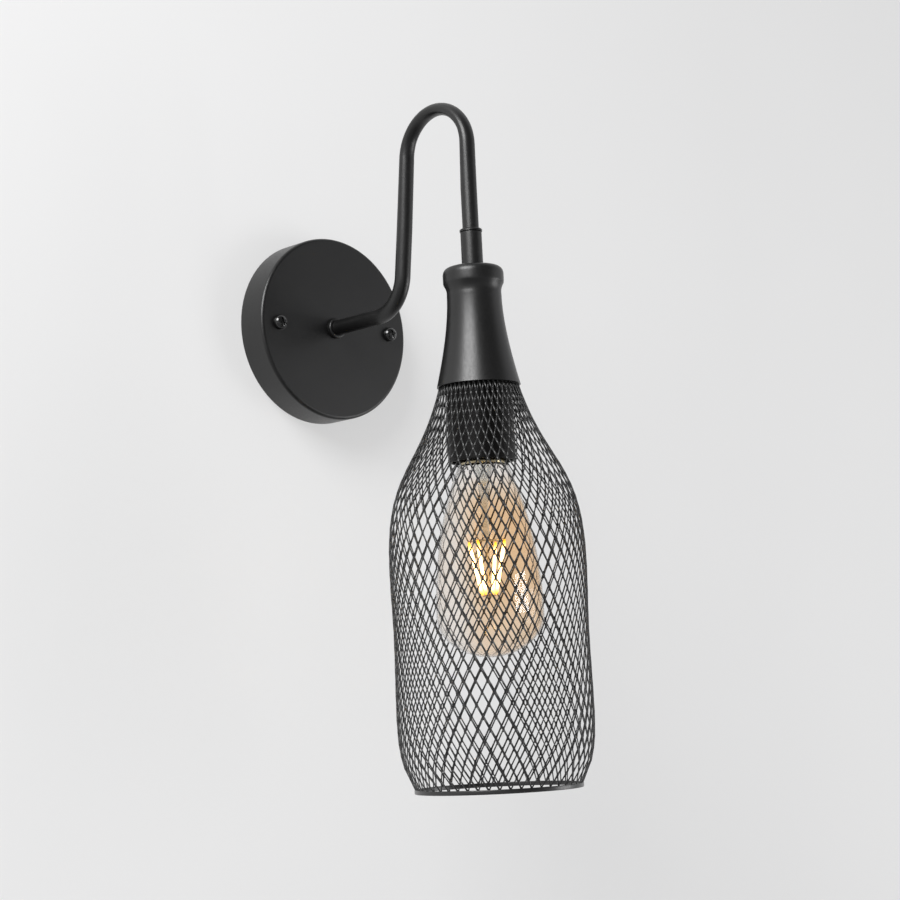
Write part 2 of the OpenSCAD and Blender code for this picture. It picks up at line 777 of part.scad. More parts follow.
// comes down through the insulator and bends in under its middle
module centre_contact() {
    top_z = holder_joint_z;
    bend_z = core_foot_z - 3;
    tongue_z = bulb_tip_z + 0.1;
    leg_x = 0.3 - terminal_x;
    pad_in_x = 4 - terminal_x;
    contact_strip([[-terminal_x - 3, top_z], [leg_x - contact_wall, top_z],
                   [leg_x - contact_wall, core_foot_z + 0.05], [leg_x + 3, bend_z - 1],
                   [-2, tongue_z], [4, tongue_z], [4, tongue_z + contact_wall],
                   [-1.7, tongue_z + contact_wall], [leg_x + 3.4, bend_z],
                   [leg_x, core_foot_z + 0.4], [leg_x, top_z], [pad_in_x, top_z],
                   [pad_in_x, top_z + contact_wall], [-terminal_x - 3, top_z + contact_wall]]);
}

// comes down through the insulator onto the flange of the screw shell
module side_contact() {
    top_z = holder_joint_z;
    leg_x = terminal_x + 0.3;
    contact_strip([[terminal_x - 4, top_z + contact_wall], [terminal_x - 4, top_z],
                   [leg_x - contact_wall, top_z], [leg_x - contact_wall, core_foot_z],
                   [leg_x, core_foot_z], [leg_x, top_z], [terminal_x + 3, top_z],
                   [terminal_x + 3, top_z + contact_wall]]);
}

module holder_terminal_screws()
    color(steel)
        on_shade_axis(holder_joint_z + 0.6)
            for (side = [-1, 1])
                translate([side * terminal_x, 0, 0])
                    pan_head(2.4, 1.8);

// ---------- leads ----------

// a frame carried along the route without twisting
function carried(p, i, n) = i >= len(p) ? [] : let (
    t = heading(p, i),
    m = unit(n - (n * t) * t))
    concat([m], carried(p, i + 1, m));

module wire(route, start_normal) {
    sides = 6;
    normals = carried(route, 0, start_normal);
    last = len(route) - 1;
    points = [for (i = [0:last], s = [0:sides - 1]) let (
        m = normals[i],
        b = cross(heading(route, i), m),
        a = s * 360 / sides)
        route[i] + lead_r * (cos(a) * m + sin(a) * b)];
    faces = concat(
        [[for (s = [0:sides - 1]) s]],
        [for (i = [0:last - 1], s = [0:sides - 1]) each let (n = (s + 1) % sides)
            [[i * sides + s, (i + 1) * sides + s, (i + 1) * sides + n],
             [i * sides + s, (i + 1) * sides + n, i * sides + n]]],
        [[for (s = [sides - 1:-1:0]) last * sides + s]]);
    polyhedron(points = points, faces = faces, convexity = 8);
}

// the arm's centreline past its first straight, moved to one side by x
function through_arm(x) = [for (q = concat(
    arc(lower_centre, lower_bend_r, -90, -arm_lean, 8),
    arc(upper_centre, upper_bend_r, 180 - arm_lean, 0, 16))) [x, -q[0], q[1]]];

// A lead's approach, from its pole of the block round the block's top to the arm's lower end.
// The live lead starts at the outer pole and passes in front of the neutral one.
pole_y = -bracket_wall - block_size[1] / 2;
block_top = block_size[2] / 2 - 1;
live_approach = [[pole_x[1], pole_y, block_top], [pole_x[1], pole_y, 10], [19.2, -8, 12],
                 [16, -9.6, 12.6], [11, -10.8, 12], [6.2, -11.5, 9.5], [3.8, -11.8, 6], [1.9, -12.2, 2.5]];
neutral_approach = [[pole_x[0], pole_y, block_top], [pole_x[0], pole_y, 10], [11, -7.5, 12],
                    [8, -8.5, 12.5], [4.4, -9, 9], [0.8, -9.5, 5], [-1.6, -11, 1.5]];

// a lead from its approach through the arm and the nipple to the lampholder
function lead_route(approach, side) = let (x = side * 1.6) concat(
    approach,
    [[x, -14, 0], [x, -20, 0]],
    through_arm(x),
    [[x, -arm_reach, 40], [x, -arm_reach, nipple_end_z],
     [x + side, -arm_reach, nipple_end_z - 3], [side * 4, -arm_reach - 1, nipple_end_z - 5.5],
     [side * 6.5, -arm_reach - 2, holder_joint_z + 2.4]]);

module live_lead()
    color("#7a4a25")
        wire(lead_route(live_approach, 1), [1, 0, 0]);

module neutral_lead()
    color("#2f6fae")
        wire(lead_route(neutral_approach, -1), [1, 0, 0]);

module earth_lead() {
    tag_y = -(canopy_inner - washer_wall - tag_wall - 0.6);
    color("#7fae3a")
        wire([[-10, tag_y, 0], [-15.5, tag_y, 0], [-19, tag_y + 1, 0], [-23, tag_y + 3.5, -1],
              [-26, -11, -3], [-25, -7, -5], [-22, -4.5, -5], [-19.5, -3.6, -3.8]], [0, 0, 1]);
}

// ---------- lamp ----------

cap_collar_z = bulb_tip_z - 27;
thread_top_z = bulb_tip_z - 6;
glass_widest_z = bulb_end_z + 24.5;
glass_neck_z = cap_collar_z - 1.5;
seal_r = bulb_cap_r - 1;
glass_face = concat(
    [[seal_r, cap_collar_z + 6], [seal_r, cap_collar_z + 0.2]],
    curve([15, glass_neck_z + 0.5], [23, glass_neck_z - 18], [bulb_d / 2, glass_widest_z + 41],
          [bulb_d / 2, glass_widest_z], 20),
    after_first(curve([bulb_d / 2, glass_widest_z], [bulb_d / 2, glass_widest_z - 15],
                      [15, bulb_end_z], [0, bulb_end_z], 14)));

module bulb_glass() {
    inside = beside(glass_face, glass_wall);
    last = len(inside) - 1;
    color("#e0a13c", 0.35)
        on_shade_axis()
            rotate_extrude($fn = 96)
                polygon(concat(glass_face, [[0, bulb_end_z + glass_wall]],
                               [for (i = [last - 1:-1:0]) inside[i]]));
}

module bulb_cap() {
    shell = 0.5;
    color(brass)
        on_shade_axis()
            rotate_extrude()
                polygon([[bulb_cap_r - shell, cap_collar_z], [bulb_cap_r + 0.3, cap_collar_z],
                         [bulb_cap_r + 0.3, cap_collar_z + 2], [bulb_cap_r, cap_collar_z + 2.5],
                         [bulb_cap_r, thread_top_z], [10, thread_top_z + 2.5],
                         [9.5, thread_top_z + 2.5], [bulb_cap_r - shell, thread_top_z - 0.2]]);
}

module bulb_insulator()
    color("#151515")
        on_shade_axis()
            rotate_extrude()
                polygon([[0, thread_top_z + 1.5], [9.4, thread_top_z + 1.5], [9.4, thread_top_z + 2.6],
                         [5, bulb_tip_z - 1], [0, bulb_tip_z - 1]]);

module bulb_contact()
    color(steel)
        on_shade_axis(bulb_tip_z - 1)
            rotate_extrude()
                polygon([[0, 0], [4.6, 0], [4, 0.7], [2, 1], [0, 1]]);

// glass flare inside the lamp's neck with its rod and button
stem_top_z = cap_collar_z + 4;
stem_foot_z = bulb_end_z + 72;
rod_r = 2;
module bulb_stem() {
    color("#dfe3e0")
        on_shade_axis()
            rotate_extrude()
                polygon(concat([[0, stem_top_z], [seal_r - glass_wall - 0.1, stem_top_z],
                                [seal_r - glass_wall - 0.1, stem_top_z - 2]],
                               curve([8, stem_top_z - 4], [4, stem_top_z - 9], [rod_r + 1.5, stem_top_z - 14],
                                     [rod_r + 1.5, stem_top_z - 20], 6),
                               [[rod_r, stem_top_z - 24], [rod_r, stem_foot_z + 2],
                                [rod_r + 0.8, stem_foot_z + 1], [rod_r + 0.8, stem_foot_z],
                                [0, stem_foot_z - 0.6]]));
}

// Filament sticks lean from a wide ring at the top to a narrow one below
stick_r = 1;
stick_turn = 12;                     // turn of the first stick from the x axis
stick_top_r = 12;
stick_foot_r = 4.5;
stick_top_z = stem_foot_z - 3;
stick_lean = asin((stick_top_r - stick_foot_r) / filament_length);
stick_foot_z = stick_top_z - filament_length * cos(stick_lean);

module at_stick(i)
    rotate([0, 0, stick_turn + i * 360 / filament_count])
        children();

module bulb_filaments()
    color("#ffb24a")
        on_shade_axis()
            for (i = [0:filament_count - 1])
                at_stick(i)
                    translate([stick_foot_r, 0, stick_foot_z])
                        rotate([0, stick_lean, 0])
                            cylinder(r = stick_r, h = filament_length, $fn = 16);

// wires from the button out to the upper ends, and a rod to the lower ends
module filament_supports() {
    wire_r = 0.35;
    hub_r = 1.2;
    hub_h = 2;
    color(steel)
        on_shade_axis() {
            translate([0, 0, stick_foot_z - 1.4])
                cylinder(r = hub_r, h = hub_h);
            translate([0, 0, stick_foot_z])
                cylinder(r = wire_r, h = stem_foot_z - 0.5 - stick_foot_z);
            for (i = [0:filament_count - 1])
                at_stick(i) {
                    translate([0, 0, stick_foot_z - 0.5])
                        rotate([0, 90, 0])
                            cylinder(r = wire_r, h = stick_foot_r);
                    translate([0, 0, stick_top_z + 0.4])
                        rotate([0, 90, 0])
                            cylinder(r = wire_r, h = stick_top_r);
                }
        }
}

// ---------- nodes ----------

wall_bracket();
earth_screw();
terminal_block();
terminal_screws();
canopy();
canopy_screws();
arm_collar();
arm_washer();
earth_tag();
arm_nut();
arm_tube();
sleeve_lock_ring();
coupler_sleeve();
holder_nipple();
neck_cap();
cap_washer();
cap_nut();
cage_top_ring();
cage_mesh();
cage_rim();
lampholder_dome();
lampholder_skirt();
lampholder_core();
screw_shell();
centre_contact();
side_contact();
holder_terminal_screws();
live_lead();
neutral_lead();
earth_lead();
bulb_glass();
bulb_cap();
bulb_insulator();
bulb_contact();
bulb_stem();
filament_supports();
bulb_filaments();
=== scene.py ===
import math

import bmesh
import bpy
from mathutils import Matrix, Vector


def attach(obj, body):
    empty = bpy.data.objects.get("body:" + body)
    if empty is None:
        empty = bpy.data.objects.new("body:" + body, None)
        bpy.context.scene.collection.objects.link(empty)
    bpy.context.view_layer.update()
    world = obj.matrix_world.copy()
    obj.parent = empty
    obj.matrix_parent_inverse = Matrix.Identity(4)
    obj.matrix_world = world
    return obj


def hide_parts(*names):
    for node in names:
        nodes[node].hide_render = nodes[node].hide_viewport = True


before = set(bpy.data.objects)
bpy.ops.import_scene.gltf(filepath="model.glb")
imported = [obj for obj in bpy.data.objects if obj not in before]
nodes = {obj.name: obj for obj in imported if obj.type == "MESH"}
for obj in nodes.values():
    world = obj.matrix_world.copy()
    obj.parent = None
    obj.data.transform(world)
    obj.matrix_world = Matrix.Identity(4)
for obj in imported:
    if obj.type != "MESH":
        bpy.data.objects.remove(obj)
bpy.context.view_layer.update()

MM = 0.001

# ---------- main sizes, as in the part's source but for the mesh's end ----------

CANOPY_DEPTH = 22.0
SCREW_X = 46.0
ARM_REACH = 155.0
ARM_R = 5.0
ARM_WALL = 1.0
ARM_START = 14.0
ARM_END_Z = 26.0
LOWER_BEND_R = 25.0
UPPER_BEND_R = 27.5
UPPER_CENTRE = (127.5, 91.5)
ARM_LEAN = math.radians(7.4)
CROWN_Z = 16.0
CAP_EDGE = (25.3, -58.0)
CAP_EDGE_SLOPE = 0.25
CAP_WAIST_R = 16.6
WAIST_Z = -2.5
CAP_BEAD_R = 18.5
CAP_WALL = 1.0
MESH_END_Z = -297.4
SHOULDER = (58.8, -165.0)
CAGE_MIDDLE = (58.0, -208.0)
RIM_R = 49.3
BULB_R = 32.0
GLASS_WALL = 0.8
BULB_END_Z = -220.5
BULB_TIP_Z = BULB_END_Z + 142.0
CAP_COLLAR_Z = BULB_TIP_Z - 27.0
THREAD_TOP_Z = BULB_TIP_Z - 6.0
STEM_FOOT_Z = BULB_END_Z + 72.0
STICK_COUNT = 4
STICK_LENGTH = 33.0
STICK_TOP_R = 12.0
STICK_FOOT_R = 4.5
STICK_TURN = 20.0

# ---------- sizes that only the scene has ----------

# the cage's sheet, counted and measured in the photograph at the cage's middle
DIAMONDS_ROUND = 50
MESH_ROWS = 35
STRAND_DEPTH = 0.65
FALLING_STRAND = 1.05
RISING_STRAND = 0.8
CROSSING_LENGTH = 3.4
# how far the slits push a strand in or out, and how far both its ends run into the crossings
SLIT_PUSH = 0.3
STRAND_LAP = 0.4

# how flat the bender pressed the upper bend
BEND_FLAT = 2.3

# the leads' radius, and how far two of them lie to each side of the tube's middle
LEAD_R = 1.0
LEAD_OFFSET = 1.6

# round thread of the lamp's cap and the holder's shell, and its corners in one round
LAMP_PITCH = 3.62
THREAD_STEPS = 72

# corners in one round of the large turned pieces
STEPS_ROUND = 128

# ---------- light and axes ----------

# the side of the bulb painted deeper amber as painted shade; the other side is painted paler, as
# painted light
PAINTED_SHADE_SIDE = (0.735, -0.678, 0.0)

# light levels, where 1 shows white: the room, its dim patch, its share low down, and what is added
# to the wall's look
AIR = 0.7
DIM_AIR = 0.16
LOW_AIR = 0.5
DIM_PATCH = (-0.08, -0.83, 0.55)
WALL_LIFT = 0.467

WALL_AXIS = Matrix.Rotation(math.pi / 2, 4, "X")
SHADE_AXIS = Matrix.Translation((0, -ARM_REACH * MM, 0))


# ---------- outlines ----------

def arc(centre, radius, start, end, steps):
    """Points of an arc, angles in degrees."""
    points = []
    for i in range(steps + 1):
        angle = math.radians(start + (end - start) * i / steps)
        points.append((centre[0] + radius * math.cos(angle),
                       centre[1] + radius * math.sin(angle)))
    return points


def curve(a, b, c, d, steps):
    """Points of a cubic curve with its two handles."""
    points = []
    for i in range(steps + 1):
        t = i / steps
        u = 1 - t
        points.append(tuple(u ** 3 * a[k] + 3 * u * u * t * b[k]
                            + 3 * u * t * t * c[k] + t ** 3 * d[k] for k in (0, 1)))
    return points


def moved(point, right, up):
    """A point moved to the right and up."""
    return (point[0] + right, point[1] + up)


def beside(outline, distance):
    """The outline moved sideways, to the right of its travel."""
    last = len(outline) - 1
    out = []
    for i, point in enumerate(outline):
        before, after = outline[max(i - 1, 0)], outline[min(i + 1, last)]
        run = math.hypot(after[0] - before[0], after[1] - before[1])
        out.append((point[0] + distance * (after[1] - before[1]) / run,
                    point[1] - distance * (after[0] - before[0]) / run))
    return out


# ---------- meshes ----------

def placed(name, data):
    """An object of this name, put in the scene."""
    item = bpy.data.objects.new(name, data)
    bpy.context.scene.collection.objects.link(item)
    return item


def flat_ring(shape, place, radius, height, around):
    """One level ring of vertices round the axis."""
    return [shape.verts.new(place @ Vector((radius * MM * math.cos(2 * math.pi * k / around),
                                            radius * MM * math.sin(2 * math.pi * k / around),
                                            height * MM)))
            for k in range(around)]


def turned(shape, outline, place, around=STEPS_ROUND, closed=True):
    """Adds an outline turned round its axis. Points on the axis become poles."""
    rings = []
    for radius, height in outline:
        if radius < 1e-6:
            rings.append([shape.verts.new(place @ Vector((0, 0, height * MM)))])
        else:
            rings.append(flat_ring(shape, place, radius, height, around))
    join_rings(shape, rings, closed)


def join_rings(shape, rings, closed):
    """Faces between each ring of vertices and the next, and from the last to the first if
    closed."""
    pairs = list(zip(rings, rings[1:]))
    if closed and len(rings[0]) > 1 and len(rings[-1]) > 1:
        pairs.append((rings[-1], rings[0]))
    for low, high in pairs:
        count = max(len(low), len(high))
        for k in range(count):
            n = (k + 1) % count
            corners = [low[k % len(low)], low[n % len(low)],
                       high[n % len(high)], high[k % len(high)]]
            face = [v for i, v in enumerate(corners) if v not in corners[:i]]
            if len(face) > 2:
                shape.faces.new(face)


def as_mesh(name, shape):
    """Closes the work on a shape: faces outward, made a mesh."""
    bmesh.ops.recalc_face_normals(shape, faces=shape.faces)
    mesh = bpy.data.meshes.new(name)
    shape.to_mesh(mesh)
    shape.free()
    return mesh


def swept(shape, route, radius, sides):
    """Adds a round wire along a route, its ends closed."""
    rings = []
    last = len(route) - 1
    normal = (route[1] - route[0]).orthogonal()
    for i, point in enumerate(route):
        travel = (route[min(i + 1, last)] - route[max(i - 1, 0)]).normalized()
        normal = (normal - normal.dot(travel) * travel).normalized()
        side = travel.cross(normal)
        ring = []
        for k in range(sides):
            angle = 2 * math.pi * k / sides
            ring.append(shape.verts.new(
                (point + radius * (math.cos(angle) * normal + math.sin(angle) * side)) * MM))
        rings.append(ring)
    join_rings(shape, rings, False)
    shape.faces.new(reversed(rings[0]))
    shape.faces.new(rings[-1])


def finished(name, shape, finish, body, replaced, sharp=35):
    """Makes the object of a shape, gives it its finish and lets it ride on its body."""
    mesh = as_mesh(name, shape)
    mesh.shade_smooth()
    mesh.set_sharp_from_angle(angle=math.radians(sharp))
    material = finishes[finish]
    mesh.materials.append(material)
    piece = placed(name, mesh)
    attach(piece, body)
    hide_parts(*replaced)
    return piece


# ---------- finishes ----------

# sockets of the mix node by number, because its colours and its plain values share their names
COLOUR_A, COLOUR_B, COLOUR_MIX = 6, 7, 2
VALUE_A, VALUE_B = 2, 3

# a pattern drawn out along one axis, by rolling across or by drawing down
ROLLED = (0.08, 1, 1)
DRAWN = (1, 1, 0.12)


def linear(hex_value):
    """Linear colour of an sRGB hex value."""
    channels = [int(hex_value[i:i + 2], 16) / 255 for i in (1, 3, 5)]
    return [c / 12.92 if c <= 0.04045 else ((c + 0.055) / 1.055) ** 2.4
            for c in channels] + [1.0]


def add(tree, kind, inputs=(), out=0, **settings):
    """Adds a node and returns one of its outputs, or the node where out is None. Inputs are in
    order or by name, each a value or another node's output."""
    made = tree.nodes.new(kind)
    for key, value in settings.items():
        setattr(made, key, value)
    for key, value in (inputs.items() if isinstance(inputs, dict) else enumerate(inputs)):
        if isinstance(value, bpy.types.NodeSocket):
            tree.links.new(value, made.inputs[key])
        else:
            made.inputs[key].default_value = value
    return made if out is None else made.outputs[out]


def bare_finish(name, **values):
    """A material with its main shader, the values set on the shader's own sockets."""
    material = bpy.data.materials.new(name)
    material.use_nodes = True
    tree = material.node_tree
    shader = tree.nodes["Principled BSDF"]
    for key, value in values.items():
        shader.inputs[key.replace("_", " ")].default_value = value
    place = add(tree, "ShaderNodeTexCoord", out="Object")
    return material, tree, shader.inputs, place


def surface_finish(name, colours, gloss, patch_mm, grain_mm, depth_mm, stretch=(1, 1, 1),
                   **values):
    """A surface whose colour drifts in patches, and whose gloss and relief follow a grain. Stretch
    draws the grain out along an axis, for rolling and drawing marks."""
    material, tree, shader, place = bare_finish(name, **values)
    drawn = add(tree, "ShaderNodeMapping", {"Vector": place, "Scale": stretch})
    patches = add(tree, "ShaderNodeTexNoise",
                  {"Vector": place, "Scale": 1000 / patch_mm, "Detail": 3.0})
    grain = add(tree, "ShaderNodeTexNoise",
                {"Vector": drawn, "Scale": 1000 / grain_mm, "Detail": 2.0})
    share = add(tree, "ShaderNodeMapRange", {"Value": patches, "From Min": 0.3, "From Max": 0.7})
    colour = add(tree, "ShaderNodeMix",
                 {"Factor": share, COLOUR_A: linear(colours[0]), COLOUR_B: linear(colours[1])},
                 COLOUR_MIX, data_type="RGBA")
    rough = add(tree, "ShaderNodeMapRange", {"Value": grain, "From Min": 0.3, "From Max": 0.7,
                                             "To Min": gloss[0], "To Max": gloss[1]})
    skin = add(tree, "ShaderNodeBump", {"Height": grain, "Distance": depth_mm * MM})
    tree.links.new(colour, shader["Base Color"])
    tree.links.new(rough, shader["Roughness"])
    tree.links.new(skin, shader["Normal"])
    return material


def striped_insulation():
    """Green and yellow PVC of an earth lead: two colours share the round, one stripe each."""
    material, tree, shader, place = bare_finish("green_yellow_insulation", Roughness=0.42)
    height = add(tree, "ShaderNodeSeparateXYZ", (place,), "Z")
    wander = add(tree, "ShaderNodeTexNoise", {"Vector": place, "Scale": 330.0})
    band = add(tree, "ShaderNodeMath", (height, 900.0, wander), operation="MULTIPLY_ADD")
    stripe = add(tree, "ShaderNodeMath", (band, 1.0), operation="PINGPONG")
    share = add(tree, "ShaderNodeMapRange", {"Value": stripe, "From Min": 0.46, "From Max": 0.54})
    colour = add(tree, "ShaderNodeMix",
                 {"Factor": share, COLOUR_A: linear("#3f8f2e"), COLOUR_B: linear("#e3c92b")},
                 COLOUR_MIX, data_type="RGBA")
    grain = add(tree, "ShaderNodeTexNoise", {"Vector": place, "Scale": 2500.0})
    skin = add(tree, "ShaderNodeBump", {"Height": grain, "Distance": 0.004 * MM})
    tree.links.new(colour, shader["Base Color"])
    tree.links.new(skin, shader["Normal"])
    return material


def amber_lustre_glass():
    """Blown soda-lime glass with an amber lustre that runs thinner to the crown and to the bare
    neck and drifts in patches 30 mm across. The amber is painted deeper on one side of the bulb as
    painted shade and paler on the other as painted light. Blowing leaves slow waves 9 mm long."""
    material, tree, shader, place = bare_finish("amber_glass", Roughness=0.0,
                                                Transmission_Weight=1.0, IOR=1.3)
    height = add(tree, "ShaderNodeSeparateXYZ", (place,), "Z")
    off_side = add(tree, "ShaderNodeVectorMath", (place, PAINTED_SHADE_SIDE), "Value",
                   operation="DOT_PRODUCT")
    from_axis = add(tree, "ShaderNodeMath", (off_side, -PAINTED_SHADE_SIDE[1] * ARM_REACH * MM),
                    operation="SUBTRACT")
    # painted shade: the amber deepens over one half of the bulb and thins over the other, painted
    # light and shade across the glass
    painted_shade_share = add(tree, "ShaderNodeMapRange", {"Value": from_axis, "From Min": -0.021,
                                             "From Max": -0.001, "To Min": 0.22, "To Max": 1.0},
                interpolation_type="SMOOTHSTEP")
    drift = add(tree, "ShaderNodeTexNoise", {"Vector": place, "Scale": 33.0, "Detail": 2.0})
    laid = add(tree, "ShaderNodeMapRange", {"Value": height, "From Min": (BULB_END_Z + 6) * MM,
                                            "From Max": (BULB_END_Z + 45) * MM,
                                            "To Min": 0.48, "To Max": 0.8})
    bare = add(tree, "ShaderNodeMapRange", {"Value": height,
                                            "From Min": (CAP_COLLAR_Z - 25) * MM,
                                            "From Max": (CAP_COLLAR_Z - 5) * MM,
                                            "To Min": 1.0, "To Max": 0.1})
    spread = add(tree, "ShaderNodeMapRange", {"Value": drift, "From Min": 0.3, "From Max": 0.7,
                                              "To Min": 0.75, "To Max": 1.0})
    coat = add(tree, "ShaderNodeMath", (laid, spread), operation="MULTIPLY")
    # the coat share also carries the painted shade and painted light of the two sides
    for share in (bare, painted_shade_share):
        coat = add(tree, "ShaderNodeMath", (coat, share), operation="MULTIPLY")
    colour = add(tree, "ShaderNodeMix",
                 {"Factor": coat, COLOUR_A: linear("#ffffff"), COLOUR_B: linear("#ffe0b6")},
                 COLOUR_MIX, data_type="RGBA")
    waves = add(tree, "ShaderNodeTexNoise", {"Vector": place, "Scale": 111.0})
    skin = add(tree, "ShaderNodeBump", {"Height": waves, "Distance": 0.03 * MM})
    tree.links.new(colour, shader["Base Color"])
    tree.links.new(skin, shader["Normal"])
    return material


def clear_stem_glass():
    """Clear glass tube and pressed flare: colourless, with faint drawing lines 0.6 mm apart."""
    material, tree, shader, place = bare_finish("clear_glass", Roughness=0.02,
                                                Transmission_Weight=1.0, IOR=1.5)
    drawn = add(tree, "ShaderNodeMapping", {"Vector": place, "Scale": (1.0, 1.0, 0.1)})
    cloud = add(tree, "ShaderNodeTexNoise", {"Vector": place, "Scale": 200.0})
    lines = add(tree, "ShaderNodeTexNoise", {"Vector": drawn, "Scale": 1600.0})
    colour = add(tree, "ShaderNodeMix",
                 {"Factor": cloud, COLOUR_A: linear("#f2f6f4"), COLOUR_B: linear("#ffffff")},
                 COLOUR_MIX, data_type="RGBA")
    skin = add(tree, "ShaderNodeBump", {"Height": lines, "Distance": 0.006 * MM})
    tree.links.new(colour, shader["Base Color"])
    tree.links.new(skin, shader["Normal"])
    return material


def glowing_phosphor():
    """Silicone with yellow phosphor over a lit strip: pale where the strip is hottest, deep yellow
    at its two ends, and slightly beaded from the chips 1.2 mm apart underneath."""
    material, tree, shader, place = bare_finish("glowing_filament", Roughness=0.5)
    middle_z = (STEM_FOOT_Z - 3 - STICK_LENGTH / 2) * MM
    height = add(tree, "ShaderNodeSeparateXYZ", (place,), "Z")
    along = add(tree, "ShaderNodeMath", (height, middle_z), operation="SUBTRACT")
    away = add(tree, "ShaderNodeMath", (along,), operation="ABSOLUTE")
    end = add(tree, "ShaderNodeMapRange", {"Value": away, "From Min": 0.0105, "From Max": 0.0155})
    chips = add(tree, "ShaderNodeTexNoise", {"Vector": place, "Scale": 830.0})
    glow = add(tree, "ShaderNodeMix",
               {"Factor": end, COLOUR_A: linear("#ffe3a6"), COLOUR_B: linear("#ffb01c")},
               COLOUR_MIX, data_type="RGBA")
    power = add(tree, "ShaderNodeMapRange", {"Value": end, "To Min": 8.0, "To Max": 2.2})
    beaded = add(tree, "ShaderNodeMapRange", {"Value": chips, "From Min": 0.3, "From Max": 0.7,
                                              "To Min": 0.85, "To Max": 1.15})
    strength = add(tree, "ShaderNodeMath", (power, beaded), operation="MULTIPLY")
    colour = add(tree, "ShaderNodeMix",
                 {"Factor": chips, COLOUR_A: linear("#e6b23a"), COLOUR_B: linear("#f0c65c")},
                 COLOUR_MIX, data_type="RGBA")
    tree.links.new(glow, shader["Emission Color"])
    tree.links.new(strength, shader["Emission Strength"])
    tree.links.new(colour, shader["Base Color"])
    return material


# the plain colours that came with the frame make room for the finishes of the same names
slots_of = {node: [slot.material.name for slot in cad.material_slots]
            for node, cad in nodes.items()}
for plain in list(bpy.data.materials):
    bpy.data.materials.remove(plain)

made_finishes = [
    # polyester powder coat on steel: satin black, melted powder leaves a soft orange peel 1.4 mm
    # across
    surface_finish("black_powder_coat", ("#0c0c0c", "#121212"), (0.31, 0.4), 26, 1.4, 0.012),
    # the same coat on the thin strands, where it lies a little thicker and shinier
    # its colours are a little paler than the canopy's coat: painted light on the lit strands
    surface_finish("black_mesh", ("#101010", "#1a1a1a"), (0.3, 0.42), 14, 1.1, 0.01,
                   Coat_Weight=0.3, Coat_Roughness=0.2),
    # gloss lacquer on pan head screws: a wet look with sharp glints
    surface_finish("gloss_black_screw", ("#0a0a0a", "#161616"), (0.1, 0.2), 2.2, 0.8, 0.006,
                   Coat_Weight=0.6, Coat_Roughness=0.05),
    # bright zinc over cold rolled strip: faint blue and straw clouds and fine rolling lines
    surface_finish("zinc_plated_steel", ("#b9c0c6", "#cfcbbd"), (0.24, 0.42), 7, 0.3, 0.004,
                   ROLLED, Metallic=1.0),
    # drawn brass with a thin brown tarnish in clouds of 4 mm and draw marks 0.25 mm apart
    surface_finish("brass", ("#e0bd6c", "#b98f45"), (0.22, 0.38), 4, 0.25, 0.003, DRAWN,
                   Metallic=1.0),
    # nickel flashed brass of the lamp's cap, paler than bare brass
    surface_finish("nickel_brass", ("#d8cfb4", "#bfae84"), (0.2, 0.34), 4, 0.25, 0.003, DRAWN,
                   Metallic=1.0),
    # nylon of the terminal block, milky and slightly uneven
    surface_finish("terminal_plastic", ("#e9e5da", "#dcd6c6"), (0.34, 0.5), 9, 0.5, 0.006),
    # phenolic of the lampholder, near black with a dull moulded gloss
    surface_finish("holder_plastic", ("#0b0a0a", "#121110"), (0.34, 0.46), 12, 0.7, 0.008,
                   Specular_IOR_Level=0.18),
    # glazed steatite of the holder's insulator
    surface_finish("white_insulator", ("#e8e2d3", "#d8cfbb"), (0.28, 0.45), 6, 0.4, 0.01),
    # PVC of the live and neutral leads, drawn smooth with a faint haze
    surface_finish("brown_insulation", ("#5a3219", "#6b3d20"), (0.38, 0.5), 8, 0.4, 0.004),
    surface_finish("blue_insulation", ("#2463a6", "#2f74bb"), (0.38, 0.5), 8, 0.4, 0.004),
    striped_insulation(),
    amber_lustre_glass(),
    clear_stem_glass(),
    # near black glass pressed round the contact button, glossy and slightly flowed
    surface_finish("black_glass", ("#0d0b12", "#1a1620"), (0.08, 0.18), 5, 1, 0.01),
    # tin solder on the contact button, dull and pooled
    surface_finish("solder", ("#c4c3bd", "#9d9c96"), (0.3, 0.5), 3, 0.8, 0.01, Metallic=1.0),
    # nickel plated iron of the support wires
    surface_finish("support_wire", ("#c9c1b2", "#a1978a"), (0.25, 0.4), 3, 0.25, 0.002, DRAWN,
                   Metallic=1.0),
    glowing_phosphor(),
]
finishes = {finish.name: finish for finish in made_finishes}

for node, names in slots_of.items():
    for slot, name in zip(nodes[node].material_slots, names):
        slot.material = finishes[name]


# ---------- expanded mesh of the cage ----------

def cage_outline():
    """The mesh's outer face from its top band inside the neck cap to its end in the rim."""
    gap = CAP_WALL + 0.3
    top = (CAP_EDGE[0] - CAP_EDGE_SLOPE * 8 - gap, CAP_EDGE[1] + 8)
    tuck = (SHOULDER[0] - 0.3, MESH_END_Z + 44)
    rim = (RIM_R + 0.2, MESH_END_Z + 2)
    return (curve(top, moved(top, 14.6, -59.7), moved(SHOULDER, 0, 62.5), SHOULDER, 60)
            + curve(SHOULDER, moved(SHOULDER, 0, -20), moved(CAGE_MIDDLE, 0, 18),
                    CAGE_MIDDLE, 16)[1:]
            + curve(CAGE_MIDDLE, moved(CAGE_MIDDLE, 0, -18), moved(tuck, 0, 18), tuck, 16)[1:]
            + curve(tuck, moved(tuck, 0, -29), moved(rim, 4.4, 9.6), rim, 30)[1:]
            + [(RIM_R, MESH_END_Z + 1)])


def at_run(outline, run):
    """The point of an outline at a distance along it."""
    for a, b in zip(outline, outline[1:]):
        step = math.hypot(b[0] - a[0], b[1] - a[1])
        if run <= step:
            return (a[0] + (b[0] - a[0]) * run / step,
                    a[1] + (b[1] - a[1]) * run / step)
        run -= step
    return outline[-1]


